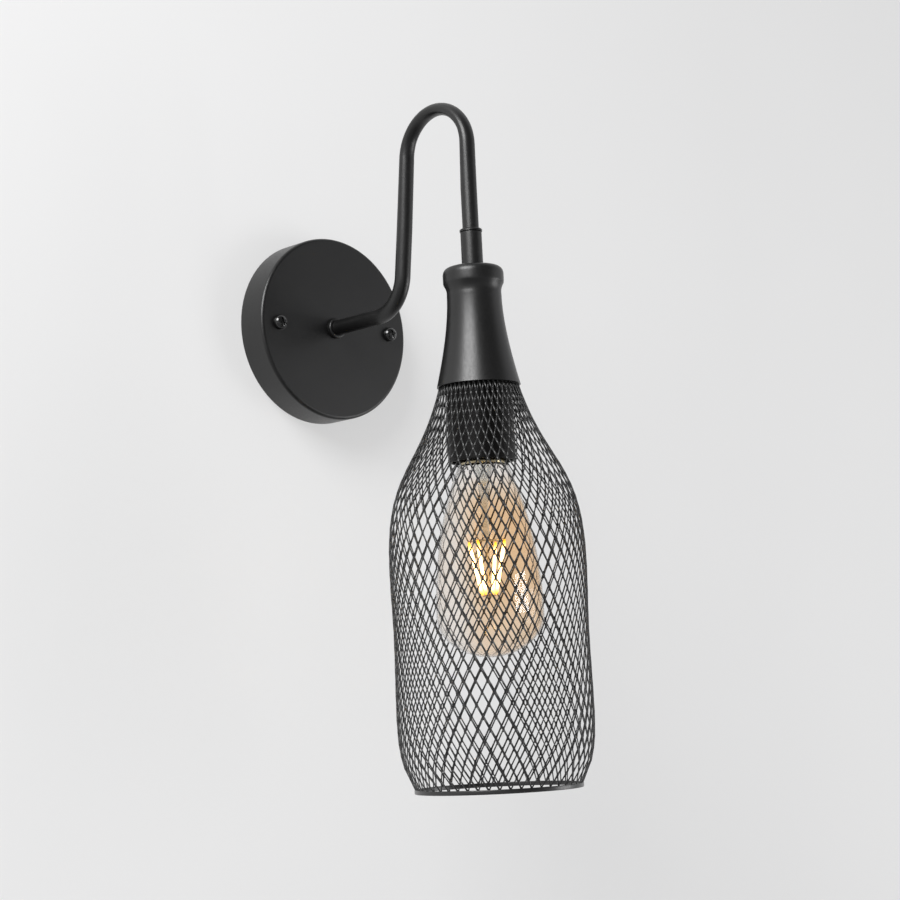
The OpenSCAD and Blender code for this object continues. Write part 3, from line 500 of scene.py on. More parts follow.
def lattice_rows(outline, around, rows):
    """Places of the rows of crossings. Strands have one length, so rows stand further apart where
    the bottle is slim."""
    total = sum(math.hypot(b[0] - a[0], b[1] - a[1]) for a, b in zip(outline, outline[1:]))
    low, high = total / rows, 3 * total / rows
    for _ in range(40):
        strand = (low + high) / 2
        runs = [0.0]
        for _ in range(rows):
            half = math.pi * at_run(outline, min(runs[-1], total))[0] / around
            runs.append(runs[-1] + math.sqrt(max(strand ** 2 - half ** 2, 0.01)))
        if runs[-1] > total:
            high = strand
        else:
            low = strand
    return [at_run(outline, run) for run in runs]


def mesh_lattice_tree():
    """Strands and crossings of expanded metal over rows of points: one point per row, at the
    row's radius and height."""
    tree = bpy.data.node_groups.new("expanded_metal", "GeometryNodeTree")
    for name, kind in (("Rows", "Geometry"), ("Diamonds round", "Int"),
                       ("Falling strand width", "Float"), ("Rising strand width", "Float"),
                       ("Strand depth", "Float"), ("Crossing length", "Float"),
                       ("Finish", "Material")):
        tree.interface.new_socket(name, in_out="INPUT", socket_type="NodeSocket" + kind)
    tree.interface.new_socket("Mesh", in_out="OUTPUT", socket_type="NodeSocketGeometry")
    given = add(tree, "NodeGroupInput", out=None).outputs
    rows, around = given["Rows"], given["Diamonds round"]
    math_node, vector_node = "ShaderNodeMath", "ShaderNodeVectorMath"
    index = add(tree, "GeometryNodeInputIndex")
    step = add(tree, math_node, (2 * math.pi, around), operation="DIVIDE")
    count = add(tree, "GeometryNodeAttributeDomainSize", {"Geometry": rows}, "Point Count",
                component="MESH")

    def row_and_angle(crossing):
        """Row of a crossing and its angle round the axis. Every other row stands half a step
        on."""
        turns = add(tree, math_node, (crossing, around), operation="DIVIDE")
        row = add(tree, math_node, (turns,), operation="FLOOR")
        column = add(tree, math_node, (crossing, around), operation="MODULO")
        odd = add(tree, math_node, (row, 2.0), operation="MODULO")
        place = add(tree, math_node, (odd, 0.5, column), operation="MULTIPLY_ADD")
        return row, add(tree, math_node, (place, step), operation="MULTIPLY")

    def crossing_point(row, angle):
        """The crossing of a row at an angle round the axis."""
        there = add(tree, "GeometryNodeInputPosition")
        point = add(tree, "GeometryNodeSampleIndex",
                    {"Geometry": rows, "Value": there, "Index": row},
                    data_type="FLOAT_VECTOR", clamp=True)
        return add(tree, "ShaderNodeVectorRotate", {"Vector": point, "Angle": angle},
                   rotation_type="Z_AXIS")

    def facing(along, outward):
        """Rotation with Z along the strand and X outward."""
        first = add(tree, "FunctionNodeAlignRotationToVector", {"Vector": along}, axis="Z")
        return add(tree, "FunctionNodeAlignRotationToVector",
                   {"Rotation": first, "Vector": outward}, axis="X", pivot_axis="Z")

    # strands: two leave each crossing, one falling to the right and one to the left
    family = add(tree, math_node, (index, 2.0), operation="MODULO")
    half_index = add(tree, math_node, (index, 2.0), operation="DIVIDE")
    crossing = add(tree, math_node, (half_index,), operation="FLOOR")
    row, start_angle = row_and_angle(crossing)
    side = add(tree, math_node, (family, 0.5), operation="SUBTRACT")
    end_angle = add(tree, math_node, (side, step, start_angle), operation="MULTIPLY_ADD")
    start = crossing_point(row, start_angle)
    end = crossing_point(add(tree, math_node, (row, 1.0), operation="ADD"), end_angle)
    run = add(tree, vector_node, (end, start), operation="SUBTRACT")
    both_angles = add(tree, math_node, (start_angle, end_angle), operation="ADD")
    half_turn = add(tree, math_node, (both_angles, 0.5), operation="MULTIPLY")
    outward = add(tree, "ShaderNodeVectorRotate", {"Vector": (1.0, 0.0, 0.0), "Angle": half_turn},
                  rotation_type="Z_AXIS")
    # the rising family lies a little deeper, as the sheet's slits push it
    sink = add(tree, math_node, (family, SLIT_PUSH * MM, -SLIT_PUSH * MM),
               operation="MULTIPLY_ADD")
    sunk = add(tree, vector_node, {"Vector": outward, "Scale": sink}, operation="SCALE")
    both_ends = add(tree, vector_node, (start, end), operation="ADD")
    middle = add(tree, vector_node, (both_ends, (0.5, 0.5, 0.5), sunk), operation="MULTIPLY_ADD")
    length = add(tree, vector_node, (run,), "Value", operation="LENGTH")
    lapped = add(tree, math_node, (length, STRAND_LAP * MM), operation="ADD")
    width = add(tree, "ShaderNodeMix", {"Factor": family, VALUE_A: given["Rising strand width"],
                                        VALUE_B: given["Falling strand width"]})
    size = add(tree, "ShaderNodeCombineXYZ", (given["Strand depth"], width, lapped))
    gaps = add(tree, math_node, (count, 1.0), operation="SUBTRACT")
    leaving = add(tree, math_node, (gaps, around), operation="MULTIPLY")
    strand_count = add(tree, math_node, (leaving, 2.0), operation="MULTIPLY")
    strand = add(tree, "GeometryNodeMeshCylinder", {"Vertices": 8, "Radius": 0.5, "Depth": 1.0})
    places = add(tree, "GeometryNodePoints", {"Count": strand_count, "Position": middle})
    strands = add(tree, "GeometryNodeInstanceOnPoints",
                  {"Points": places, "Instance": strand, "Scale": size,
                   "Rotation": facing(run, outward)})

    # crossings: a long lozenge of doubled metal where two strands meet
    knot_row, knot_angle = row_and_angle(index)
    above = crossing_point(add(tree, math_node, (knot_row, 1.0), operation="SUBTRACT"), knot_angle)
    below = crossing_point(add(tree, math_node, (knot_row, 1.0), operation="ADD"), knot_angle)
    down = add(tree, vector_node, (below, above), operation="SUBTRACT")
    knot_out = add(tree, "ShaderNodeVectorRotate", {"Vector": (1.0, 0.0, 0.0), "Angle": knot_angle},
                   rotation_type="Z_AXIS")
    knot_depth = add(tree, math_node, (given["Strand depth"], 1.1), operation="MULTIPLY")
    knot_width = add(tree, math_node, (given["Falling strand width"], 1.75), operation="MULTIPLY")
    knot_size = add(tree, "ShaderNodeCombineXYZ",
                    (knot_depth, knot_width, given["Crossing length"]))
    knot_count = add(tree, math_node, (count, around), operation="MULTIPLY")
    knot = add(tree, "GeometryNodeMeshUVSphere", {"Segments": 6, "Rings": 4, "Radius": 0.5})
    knot_places = add(tree, "GeometryNodePoints",
                      {"Count": knot_count, "Position": crossing_point(knot_row, knot_angle)})
    knots = add(tree, "GeometryNodeInstanceOnPoints",
                {"Points": knot_places, "Instance": knot, "Scale": knot_size,
                 "Rotation": facing(down, knot_out)})

    both = add(tree, "GeometryNodeJoinGeometry", (strands,), None)
    tree.links.new(knots, both.inputs[0])
    solid = add(tree, "GeometryNodeRealizeInstances", (both.outputs[0],))
    soft = add(tree, "GeometryNodeSetShadeSmooth", {"Geometry": solid})
    dressed = add(tree, "GeometryNodeSetMaterial", {"Geometry": soft, "Material": given["Finish"]})
    add(tree, "NodeGroupOutput", {"Mesh": dressed}, None)
    return tree


def from_nodes(name, base, tree, values):
    """Runs a geometry tree on a mesh and returns the plain mesh that it makes."""
    carrier = placed(name + "_rule", base)
    rule = carrier.modifiers.new("rule", "NODES")
    rule.node_group = tree
    for item in tree.interface.items_tree:
        if item.name in values:
            rule[item.identifier] = values[item.name]
    evaluated = carrier.evaluated_get(bpy.context.evaluated_depsgraph_get())
    made = bpy.data.meshes.new_from_object(evaluated)
    carrier.modifiers.remove(rule)
    bpy.data.objects.remove(carrier)
    made.name = name
    return made


def make_cage():
    """Bottle-shaped cage of expanded metal. The tree has given it its finish."""
    face = beside(cage_outline(), STRAND_DEPTH / 2)
    rows = lattice_rows(face, DIAMONDS_ROUND, MESH_ROWS)
    base = bpy.data.meshes.new("cage_rows")
    base.from_pydata([(r * MM, 0, z * MM) for r, z in rows],
                     [(i, i + 1) for i in range(len(rows) - 1)], [])
    made = from_nodes("expanded_cage", base, mesh_lattice_tree(), {
        "Diamonds round": DIAMONDS_ROUND, "Falling strand width": FALLING_STRAND * MM,
        "Rising strand width": RISING_STRAND * MM, "Strand depth": STRAND_DEPTH * MM,
        "Crossing length": CROSSING_LENGTH * MM, "Finish": finishes["black_mesh"]})
    made.transform(SHADE_AXIS)
    piece = placed("expanded_cage", made)
    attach(piece, "fixture")
    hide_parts("cage_mesh")


def make_rim():
    """Rim: the mesh's last edge folded flat into a band, its corners rounded by the press."""
    top, foot, inner, outer = MESH_END_Z + 1.7, MESH_END_Z - 0.9, RIM_R - 1.1, RIM_R + 0.5
    round_r = 0.45
    section = []
    for r, z, start in ((outer - round_r, top - round_r, 0),
                        (inner + round_r, top - round_r, 90),
                        (inner + round_r, foot + round_r, 180),
                        (outer - round_r, foot + round_r, 270)):
        section += arc((r, z), round_r, start, start + 90, 5)
    shape = bmesh.new()
    turned(shape, section, SHADE_AXIS)
    finished("folded_rim", shape, "black_mesh", "fixture", ("cage_rim",))


# ---------- spun neck cap and bent arm ----------

def make_neck_cap():
    """Spun cap: flat crown with a low seat for the sleeve, rolled bead, waist and flare."""
    bead_z = 6.5
    bead_foot = (CAP_BEAD_R - 0.2, 4.7)
    crown_edge = (14.3, CROWN_Z - 1.2)
    bead_top = (CAP_BEAD_R, CROWN_Z - 6)
    seat = (7.0, CROWN_Z)
    waist = (CAP_WAIST_R, WAIST_Z)
    face = ([(ARM_R + 0.2, CROWN_Z), seat]
            + curve(seat, (9.0, CROWN_Z - 0.7), moved(crown_edge, -2.5, 0.2), crown_edge, 8)[1:]
            + curve(crown_edge, moved(crown_edge, 2.6, -0.2), (CAP_BEAD_R, CROWN_Z - 3),
                    bead_top, 20)[1:]
            + curve(bead_top, (CAP_BEAD_R, bead_z), (CAP_BEAD_R, bead_foot[1] + 0.7),
                    bead_foot, 10)[1:]
            + curve(bead_foot, moved(bead_foot, -1.0, -1.9), (CAP_WAIST_R - 0.35, 1.0),
                    waist, 16)[1:]
            + curve(waist, (CAP_WAIST_R, WAIST_Z - 16.5),
                    moved(CAP_EDGE, -20 * CAP_EDGE_SLOPE, 20), CAP_EDGE, 40)[1:])
    inside = beside(face, CAP_WALL)
    # the lower edge is trimmed and the coat rounds it
    lip = [((face[-1][0] + inside[-1][0]) / 2 + 0.05, face[-1][1] - 0.18)]
    shape = bmesh.new()
    turned(shape, face + lip + inside[::-1], SHADE_AXIS)
    finished("spun_neck_cap", shape, "black_powder_coat", "fixture", ("neck_cap",))


def straight(a, b, steps):
    """Points between two ends, without the ends."""
    return [(a[0] + (b[0] - a[0]) * i / steps, a[1] + (b[1] - a[1]) * i / steps)
            for i in range(1, steps)]


def arm_route():
    """Centreline of the arm from the wall side, as distance from the wall and height, and at each
    point how strongly the bender has pressed the tube there."""
    reach = LOWER_BEND_R + UPPER_BEND_R
    lower = (UPPER_CENTRE[0] - reach * math.cos(ARM_LEAN)
             - (UPPER_CENTRE[1] - LOWER_BEND_R + reach * math.sin(ARM_LEAN)) * math.tan(ARM_LEAN),
             LOWER_BEND_R)
    lean = math.degrees(ARM_LEAN)
    first = arc(lower, LOWER_BEND_R, -90, -lean, 28)
    second = arc(UPPER_CENTRE, UPPER_BEND_R, 180 - lean, 0, 64)
    front_end = (ARM_REACH, ARM_END_Z)
    stretches = [([(ARM_START, 0.0)] + straight((ARM_START, 0), first[0], 8), 0.0),
                 (first, 0.1), (straight(first[-1], second[0], 16), 0.0), (second, 1.0),
                 (straight(second[-1], front_end, 24) + [front_end], 0.0)]
    route = [point for points, _ in stretches for point in points]
    pressed = [share for points, share in stretches for _ in points]
    # the press fades in and out over nineteen places along the route
    fades = [pressed[max(i - 9, 0):i + 10] for i in range(len(pressed))]
    return route, [sum(near) / len(near) for near in fades]


def make_arm():
    """Bent steel tube. The upper bend is flattened on its inner side, as a bender leaves it."""
    route, pressed = arm_route()
    sides = 48
    last = len(route) - 1
    across = Vector((1, 0, 0))
    shape = bmesh.new()
    skins = []
    for wall in (0.0, ARM_WALL):
        rings = []
        for i, (y, z) in enumerate(route):
            before, after = route[max(i - 1, 0)], route[min(i + 1, last)]
            travel = Vector((0, before[0] - after[0], after[1] - before[1])).normalized()
            inward = across.cross(travel)
            ring = []
            for k in range(sides):
                angle = 2 * math.pi * k / sides
                wide, deep = math.cos(angle), math.sin(angle)
                push = BEND_FLAT * pressed[i] * (0.5 + 0.5 * deep)
                ring.append(shape.verts.new((Vector((0, -y, z)) + (ARM_R - wall) * wide * across
                                             + ((ARM_R - wall) * deep - push) * inward) * MM))
            rings.append(ring)
        skins.append(rings)
    join_rings(shape, skins[0] + skins[1][::-1], True)
    finished("bent_arm", shape, "black_powder_coat", "fixture", ("arm_tube",))


# ---------- screws ----------

def thread_rings(shape, place, low, high, radius_at, around, pitch, per_turn):
    """Rings of a thread between two heights. radius_at takes the height and the phase of the
    turn."""
    count = max(2, round((high - low) / pitch * per_turn))
    rings = []
    for i in range(count + 1):
        height = low + (high - low) * i / count
        ring = []
        for k in range(around):
            angle = 2 * math.pi * k / around
            radius = radius_at(height, (height / pitch - k / around) % 1.0)
            ring.append(shape.verts.new(place @ Vector((radius * MM * math.cos(angle),
                                                        radius * MM * math.sin(angle),
                                                        height * MM))))
        rings.append(ring)
    return rings


def cut_away(piece_mesh, tool_mesh):
    """The first mesh with the second cut out of it."""
    body, tool = placed("cut_body", piece_mesh), placed("cut_tool", tool_mesh)
    cutter = body.modifiers.new("cut", "BOOLEAN")
    cutter.operation, cutter.solver, cutter.object = "DIFFERENCE", "EXACT", tool
    evaluated = body.evaluated_get(bpy.context.evaluated_depsgraph_get())
    made = bpy.data.meshes.new_from_object(evaluated)
    for item in (body, tool):
        bpy.data.objects.remove(item)
    return made


def recess_wing(place, turn, head_top, half_width, reach, depth):
    """One tapered wing of the tool that presses a cross recess."""
    shape = bmesh.new()
    spin = place @ Matrix.Rotation(math.radians(turn), 4, "Z")
    corners = []
    for height, far, half in ((head_top - depth, reach * 0.45, half_width * 0.7),
                              (head_top + 1.0, reach * 1.2, half_width * 1.15)):
        corners.append([shape.verts.new(spin @ (Vector((x * far, y * half, height)) * MM))
                        for x, y in ((-1, -1), (1, -1), (1, 1), (-1, 1))])
    join_rings(shape, corners, False)
    shape.faces.new(reversed(corners[0]))
    shape.faces.new(corners[1])
    return as_mesh("recess_wing", shape)


def make_canopy_screws():
    """Two M4 pan head screws in gloss black, with a cross recess and a rolled thread of 0.7 mm."""
    head_r, head_h, shank, length = 4.9, 4.6, 1.95, 16.0
    pitch, thread_depth = 0.7, 0.3
    wing_half, wing_reach, recess_depth = 0.7, 3.1, 2.4
    low, foot = CANOPY_DEPTH - length, CANOPY_DEPTH + 0.02

    def threaded(height, phase):
        point = 0.35 * max(0.0, 1 - (height - low) / 1.2)
        return shank - thread_depth + thread_depth * abs(2 * phase - 1) - point

    whole = bmesh.new()
    for side in (-1, 1):
        place = Matrix.Translation((side * SCREW_X * MM, 0, 0)) @ WALL_AXIS
        dome = ([(0.0, foot - 0.6), (1.9, foot - 0.6), (1.9, foot), (head_r - 0.35, foot)]
                + curve((head_r - 0.35, foot), (head_r, foot), (head_r, foot + 0.1),
                        (head_r, foot + 0.5), 4)[1:]
                + curve((head_r, foot + 0.5), (head_r, foot + 3.2),
                        (head_r * 0.66, foot + head_h), (0.0, foot + head_h), 16)[1:])
        head = bmesh.new()
        turned(head, dome, place, 48, False)
        pressed = as_mesh("screw_head", head)
        for turn in (18, 108):
            pressed = cut_away(pressed, recess_wing(place, turn, foot + head_h, wing_half,
                                                    wing_reach, recess_depth))
        whole.from_mesh(pressed)
        rings = thread_rings(whole, place, low, foot - 0.4, threaded, 20, pitch, 6)
        join_rings(whole, rings, False)
        whole.faces.new(rings[0])
        whole.faces.new(rings[-1])
    finished("pan_head_screws", whole, "gloss_black_screw", "fixture", ("canopy_screws",),
             sharp=28)


# ---------- lampholder thread and lamp ----------

def wave(phase):
    """Shape of the round thread in lamp and shell, one unit deep, phase 0 at the crest."""
    return 0.5 * math.cos(2 * math.pi * phase)


def make_screw_shell():
    """Brass shell of the holder, its thread rolled into the sheet and its upper end turned in."""
    foot, top = -95.0, -71.0
    middle_r, thread_depth, sheet, lip_r, lip_h = 13.75, 0.8, 0.35, 12.3, 0.4

    def rolled(height, phase, skin):
        fade = min(1.0, (height - foot) / 2.0, (top - 1.0 - height) / 2.0)
        return middle_r + skin + thread_depth * wave(phase) * max(0.0, fade)

    shape = bmesh.new()
    inner = thread_rings(shape, SHADE_AXIS, foot, top - lip_h, lambda h, p: rolled(h, p, 0.0),
                         THREAD_STEPS, LAMP_PITCH, 10)
    outer = thread_rings(shape, SHADE_AXIS, foot, top, lambda h, p: rolled(h, p, sheet),
                         THREAD_STEPS, LAMP_PITCH, 10)
    lip = [flat_ring(shape, SHADE_AXIS, lip_r, z, THREAD_STEPS) for z in (top, top - lip_h)]
    join_rings(shape, outer + lip + inner[::-1], True)
    finished("rolled_screw_shell", shape, "brass", "fixture", ("screw_shell",), sharp=60)


def make_lamp_cap():
    """Cap of the lamp: rolled round thread, plain collar with a crimped lower edge."""
    foot, top = CAP_COLLAR_Z + 3.0, THREAD_TOP_Z
    middle_r, thread_depth, flare = 12.55, 0.84, 0.3

    def rolled(height, phase):
        fade = max(0.0, min(1.0, (height - foot) / 2.2, (top - height) / 1.6))
        return (middle_r + thread_depth * wave(phase) * fade
                + flare * (1 - fade) * (height < foot + 4))

    shape = bmesh.new()
    collar = [flat_ring(shape, SHADE_AXIS, r, z, THREAD_STEPS) for r, z in (
        (12.5, CAP_COLLAR_Z), (13.15, CAP_COLLAR_Z + 0.05), (13.3, CAP_COLLAR_Z + 0.3),
        (13.3, CAP_COLLAR_Z + 1.7), (13.1, CAP_COLLAR_Z + 2.2))]
    thread = thread_rings(shape, SHADE_AXIS, foot, top, rolled, THREAD_STEPS, LAMP_PITCH, 12)
    crown = [flat_ring(shape, SHADE_AXIS, r, z, THREAD_STEPS) for r, z in (
        (12.0, top + 0.6), (11.0, top + 1.9), (9.9, top + 2.5), (9.45, top + 2.5),
        (9.45, top + 2.1), (12.1, top - 0.4), (12.1, CAP_COLLAR_Z + 0.5))]
    join_rings(shape, collar + thread + crown, True)
    finished("rolled_lamp_cap", shape, "nickel_brass", "lamp", ("bulb_cap",), sharp=60)


def make_bulb():
    """Blown bulb with its wall, drawn from the seal in the cap down to its round foot."""
    widest = (BULB_R, BULB_END_Z + 24.5)
    neck_z = CAP_COLLAR_Z - 1.5
    outside = ([(12.0, CAP_COLLAR_Z + 6), (12.0, CAP_COLLAR_Z + 0.2)]
               + curve((15, neck_z + 0.5), (23, neck_z - 18), (BULB_R, widest[1] + 41), widest, 48)
               + curve(widest, (BULB_R, widest[1] - 15), (15, BULB_END_Z),
                       (0.0, BULB_END_Z), 32)[1:])
    inside = beside(outside, GLASS_WALL)
    inside[-1] = (0.0, BULB_END_Z + GLASS_WALL)
    shape = bmesh.new()
    turned(shape, outside + inside[::-1], SHADE_AXIS)
    return finished("amber_bulb", shape, "amber_glass", "lamp", ("bulb_glass",), sharp=50)


def make_stem():
    """Glass stem: a hollow flare, pinched to a rod with a button at its end."""
    top = CAP_COLLAR_Z + 4
    outline = ([(11.1, top), (11.1, top - 2)]
               + curve((11.1, top - 2), (8.5, top - 3.5), (4.2, top - 7), (3.7, top - 14), 16)[1:]
               + curve((3.7, top - 14), (3.5, top - 19), (3.4, top - 20), (2.2, top - 24), 8)[1:]
               + curve((2.2, top - 24), (1.8, top - 26), (1.8, STEM_FOOT_Z + 6),
                       (2.0, STEM_FOOT_Z + 2.4), 6)[1:]
               + arc((0.0, STEM_FOOT_Z + 1.2), 2.8, 25, -90, 10))
    outline[-1] = (0.0, outline[-1][1])
    hollow = (curve((0.0, top - 17), (2.4, top - 17), (2.8, top - 14), (3.3, top - 10), 8)
              + curve((3.3, top - 10), (3.8, top - 6.5), (7.8, top - 3.4),
                      (10.3, top - 1.4), 10)[1:]
              + [(10.3, top)])
    shape = bmesh.new()
    turned(shape, outline + hollow, SHADE_AXIS, 48)
    finished("drawn_glass_stem", shape, "clear_glass", "lamp", ("bulb_stem",), sharp=60)


def make_filaments():
    """Four lit sticks that lean inward from a wide ring at the top to a narrow one below."""
    lean = math.asin((STICK_TOP_R - STICK_FOOT_R) / STICK_LENGTH)
    foot_z = STEM_FOOT_Z - 3 - STICK_LENGTH * math.cos(lean)
    stick = ([(0.0, 0.0), (0.55, 0.0), (0.62, 0.9), (0.85, 1.3)]
             + curve((0.95, 1.6), (1.0, 2.2), (1.0, 3), (1.0, 4), 4)
             + curve((1.0, STICK_LENGTH - 4), (1.0, STICK_LENGTH - 3), (1.0, STICK_LENGTH - 2.2),
                     (0.95, STICK_LENGTH - 1.6), 4)
             + [(0.85, STICK_LENGTH - 1.3), (0.62, STICK_LENGTH - 0.9), (0.55, STICK_LENGTH),
                (0.0, STICK_LENGTH)])
    shape = bmesh.new()
    for i in range(STICK_COUNT):
        turn = STICK_TURN + 360 / STICK_COUNT * i
        place = (SHADE_AXIS @ Matrix.Rotation(math.radians(turn), 4, "Z")
                 @ Matrix.Translation(Vector((STICK_FOOT_R, 0, foot_z)) * MM)
                 @ Matrix.Rotation(lean, 4, "Y"))
        turned(shape, stick, place, 20, False)
    finished("lit_sticks", shape, "glowing_filament", "lamp", ("bulb_filaments",), sharp=60)


# ---------- leads ----------

def smooth_route(points, steps):
    """A curve that runs evenly through the points of a route."""
    points = [Vector(p) for p in points]
    out = []
    for i in range(len(points) - 1):
        a, b, c, d = (points[max(0, min(len(points) - 1, i + k))] for k in (-1, 0, 1, 2))
        for j in range(steps):
            t = j / steps
            out.append(b + 0.5 * t * ((c - a) + t * ((2 * a - 5 * b + 4 * c - d)
                                                     + t * (3 * (b - c) + d - a))))
    return out + [points[-1]]


def make_leads():
    """PVC leads, round and smooth, along the routes of their solids."""
    route, _ = arm_route()
    in_arm = route[8:-24]
    routes = {}
    for node, finish, side, approach in (
            ("live_lead", "brown_insulation", 1, [
                (20, -7, 6.5), (20, -7, 10), (19.2, -8, 12), (16, -9.6, 12.6), (11, -10.8, 12),
                (6.2, -11.5, 9.5), (3.8, -11.8, 6), (1.9, -12.2, 2.5)]),
            ("neutral_lead", "blue_insulation", -1, [
                (12, -7, 6.5), (12, -7, 10), (11, -7.5, 12), (8, -8.5, 12.5), (4.4, -9, 9),
                (0.8, -9.5, 5), (-1.6, -11, 1.5)])):
        x = LEAD_OFFSET * side
        routes[node] = (finish, approach + [(x, -14, 0), (x, -20, 0)]
                        + [(x, -y, z) for y, z in in_arm[::6]]
                        + [(x, -ARM_REACH, 40), (x, -ARM_REACH, -51),
                           (x + side, -ARM_REACH, -54), (4 * side, -156, -56.5),
                           (6.5 * side, -157, -59.6)])
    routes["earth_lead"] = ("green_yellow_insulation", [
        (-10, -18.4, 0), (-15.5, -18.4, 0), (-19, -17.4, 0), (-23, -14.9, -1),
        (-26, -11, -3), (-25, -7, -5), (-22, -4.5, -5), (-19.5, -3.6, -3.8)])
    for node, (finish, points) in routes.items():
        shape = bmesh.new()
        swept(shape, smooth_route(points, 4), LEAD_R, 16)
        finished("pvc_" + node, shape, finish, "fixture", (node,), sharp=60)


# ---------- stage, light and camera ----------

def make_stage():
    """A painted wall. It shows from the front only and throws no shadow back, so that the open
    back of the canopy can be seen too."""
    half_width, half_height, back = 3.5, 2.4, 0.0004
    mesh = bpy.data.meshes.new("painted_wall")
    corners = [(x * half_width, back, z * half_height)
               for x, z in ((-1, -1), (1, -1), (1, 1), (-1, 1))]
    mesh.from_pydata(corners, [], [(0, 1, 2, 3)])
    wall = placed("painted_wall", mesh)
    # matt wall paint, pale and neutral, with roller stipple 2.5 mm across
    material, tree, shader, place = bare_finish("wall_paint", Roughness=0.9, Specular_IOR_Level=0.1,
                                                Emission_Color=(1.0, 1.0, 1.0, 1.0))
    cloud = add(tree, "ShaderNodeTexNoise", {"Vector": place, "Scale": 6.0})
    colour = add(tree, "ShaderNodeMix",
                 {"Factor": cloud, COLOUR_A: linear("#a6a6a6"), COLOUR_B: linear("#aaaaaa")},
                 COLOUR_MIX, data_type="RGBA")
    stipple = add(tree, "ShaderNodeTexNoise", {"Vector": place, "Scale": 400.0})
    skin = add(tree, "ShaderNodeBump", {"Height": stipple, "Distance": 0.02 * MM})
    # camera, glossy and transmission rays see the wall paler than the light on it makes it, and
    # painted light makes it brighter on the left
    path = add(tree, "ShaderNodeLightPath", out=None).outputs
    looked = add(tree, "ShaderNodeMath", (path["Is Camera Ray"], path["Is Glossy Ray"]),
                 operation="MAXIMUM")
    looked = add(tree, "ShaderNodeMath", (looked, path["Is Transmission Ray"]),
                 operation="MAXIMUM")
    across = add(tree, "ShaderNodeSeparateXYZ", (place,), "X")
    # painted light: the wall's added brightness falls from left to right, as if lit more from the
    # left
    level = add(tree, "ShaderNodeMapRange", {"Value": across, "From Min": -0.35, "From Max": 0.45,
                                             "To Min": WALL_LIFT + 0.03,
                                             "To Max": WALL_LIFT - 0.04})
    backdrop_lift_and_painted_light = add(tree, "ShaderNodeMath", (looked, level), operation="MULTIPLY")
    tree.links.new(colour, shader["Base Color"])
    tree.links.new(skin, shader["Normal"])
    tree.links.new(backdrop_lift_and_painted_light, shader["Emission Strength"])
    behind = add(tree, "ShaderNodeNewGeometry", out="Backfacing")
    clear = add(tree, "ShaderNodeBsdfTransparent")
    front = tree.nodes["Principled BSDF"].outputs[0]
    seen = add(tree, "ShaderNodeMixShader", (behind, front, clear))
    tree.links.new(seen, tree.nodes["Material Output"].inputs["Surface"])
    mesh.materials.append(material)
    wall.visible_shadow = False
    wall.visible_diffuse = False


def make_world():
    """Soft grey light from all round, dim low down and in a patch of room high in front."""
    world = bpy.data.worlds.new("studio_air")
    bpy.context.scene.world = world
    world.use_nodes = True
    tree = world.node_tree
    tree.nodes.clear()
    way = add(tree, "ShaderNodeTexCoord", out="Generated")
    nearness = add(tree, "ShaderNodeVectorMath", (way, DIM_PATCH), "Value",
                   operation="DOT_PRODUCT")
    strength = add(tree, "ShaderNodeMapRange", {"Value": nearness, "From Min": 0.6,
                                                "From Max": 0.86, "To Min": AIR,
                                                "To Max": DIM_AIR},
                   interpolation_type="SMOOTHSTEP")
    rise = add(tree, "ShaderNodeSeparateXYZ", (way,), "Z")
    low = add(tree, "ShaderNodeMapRange", {"Value": rise, "From Min": -0.4, "From Max": -0.1,
                                           "To Min": LOW_AIR, "To Max": 1.0},
              interpolation_type="SMOOTHSTEP")
    strength = add(tree, "ShaderNodeMath", (strength, low), operation="MULTIPLY")
    air = add(tree, "ShaderNodeBackground", {"Color": linear("#f9f9fb"), "Strength": strength})
    add(tree, "ShaderNodeOutputWorld", {"Surface": air}, None)


def make_softbox(name, place, aim, width, height, power):
    """A rectangular studio lamp at a place, turned to what it is aimed at."""
    data = bpy.data.lights.new(name, "AREA")
    data.shape, data.size, data.size_y, data.energy = "RECTANGLE", width, height, power
    lamp = placed(name, data)
    lamp.location = place
    lamp.rotation_euler = (Vector(aim) - Vector(place)).to_track_quat("-Z", "Y").to_euler()
    lamp.visible_transmission = False    # or it fills the glass in the views from behind
    return lamp


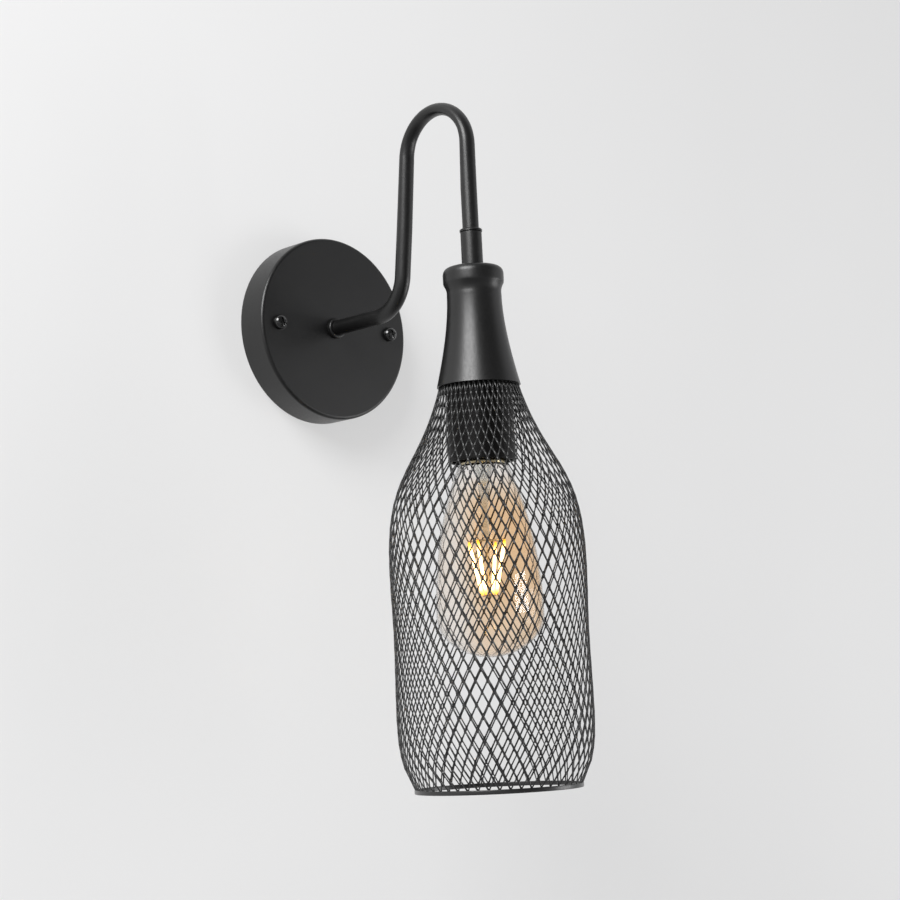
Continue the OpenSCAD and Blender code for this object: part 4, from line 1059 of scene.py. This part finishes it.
def lit_alone(lamp, name, pieces, state):
    """Lets a lamp light only these pieces, or all but them."""
    lit = bpy.data.collections.new(name)
    for i, piece in enumerate(pieces):
        lit.objects.link(piece)
        lit.collection_objects[i].light_linking.link_state = state
    lamp.light_linking.receiver_collection = lit


def make_lights():
    """A large key from high on the left, a weak one from low on the right, and the window that
    the bulb mirrors."""
    middle = (0.0, -0.12, -0.08)
    key = make_softbox("key_softbox", (-1.42, -0.66, 1.0), middle, 1.15, 1.0, 45.0)
    make_softbox("low_softbox", (1.12, -0.98, -0.38), middle, 0.65, 0.75, 5.5)
    # the window that the glass mirrors stands where it would dull the black coat
    window = make_softbox("bulb_softbox", (0.6, -1.265, -0.05), (0.0, -0.155, -0.19), 0.75, 0.26,
                          14.0)
    lit_alone(key, "all_but_the_bulb", [bulb], "EXCLUDE")
    lit_alone(window, "the_bulb_alone", [bulb], "INCLUDE")


def make_camera():
    """The photograph's view: left of the light and a little below it, turned a few degrees."""
    azimuth, elevation, roll = math.radians(-42.65), math.radians(-7.1), math.radians(2.81)
    centre, distance = Vector((30.58, -93.50, -87.57)) * MM, 1.2658
    back = Vector((math.sin(azimuth) * math.cos(elevation),
                   -math.cos(azimuth) * math.cos(elevation), math.sin(elevation)))
    right = Vector((math.cos(azimuth), math.sin(azimuth), 0))
    up = back.cross(right)
    turned_right = right * math.cos(roll) - up * math.sin(roll)
    turned_up = right * math.sin(roll) + up * math.cos(roll)
    data = bpy.data.cameras.new("photo_camera")
    data.lens, data.sensor_width, data.sensor_fit = 80.0, 36.0, "HORIZONTAL"
    data.clip_start, data.clip_end = 0.05, 20.0
    camera = placed("photo_camera", data)
    camera.matrix_world = (Matrix.Translation(centre + back * distance)
                           @ Matrix((turned_right, turned_up, back)).transposed().to_4x4())
    bpy.context.scene.camera = camera


make_camera()
make_cage()
make_rim()
make_neck_cap()
make_arm()
make_canopy_screws()
make_screw_shell()
make_lamp_cap()
bulb = make_bulb()
make_stem()
make_filaments()
make_leads()
make_stage()
make_world()
make_lights()
bpy.context.scene.view_settings.view_transform = "Standard"

bpy.context.view_layer.update()
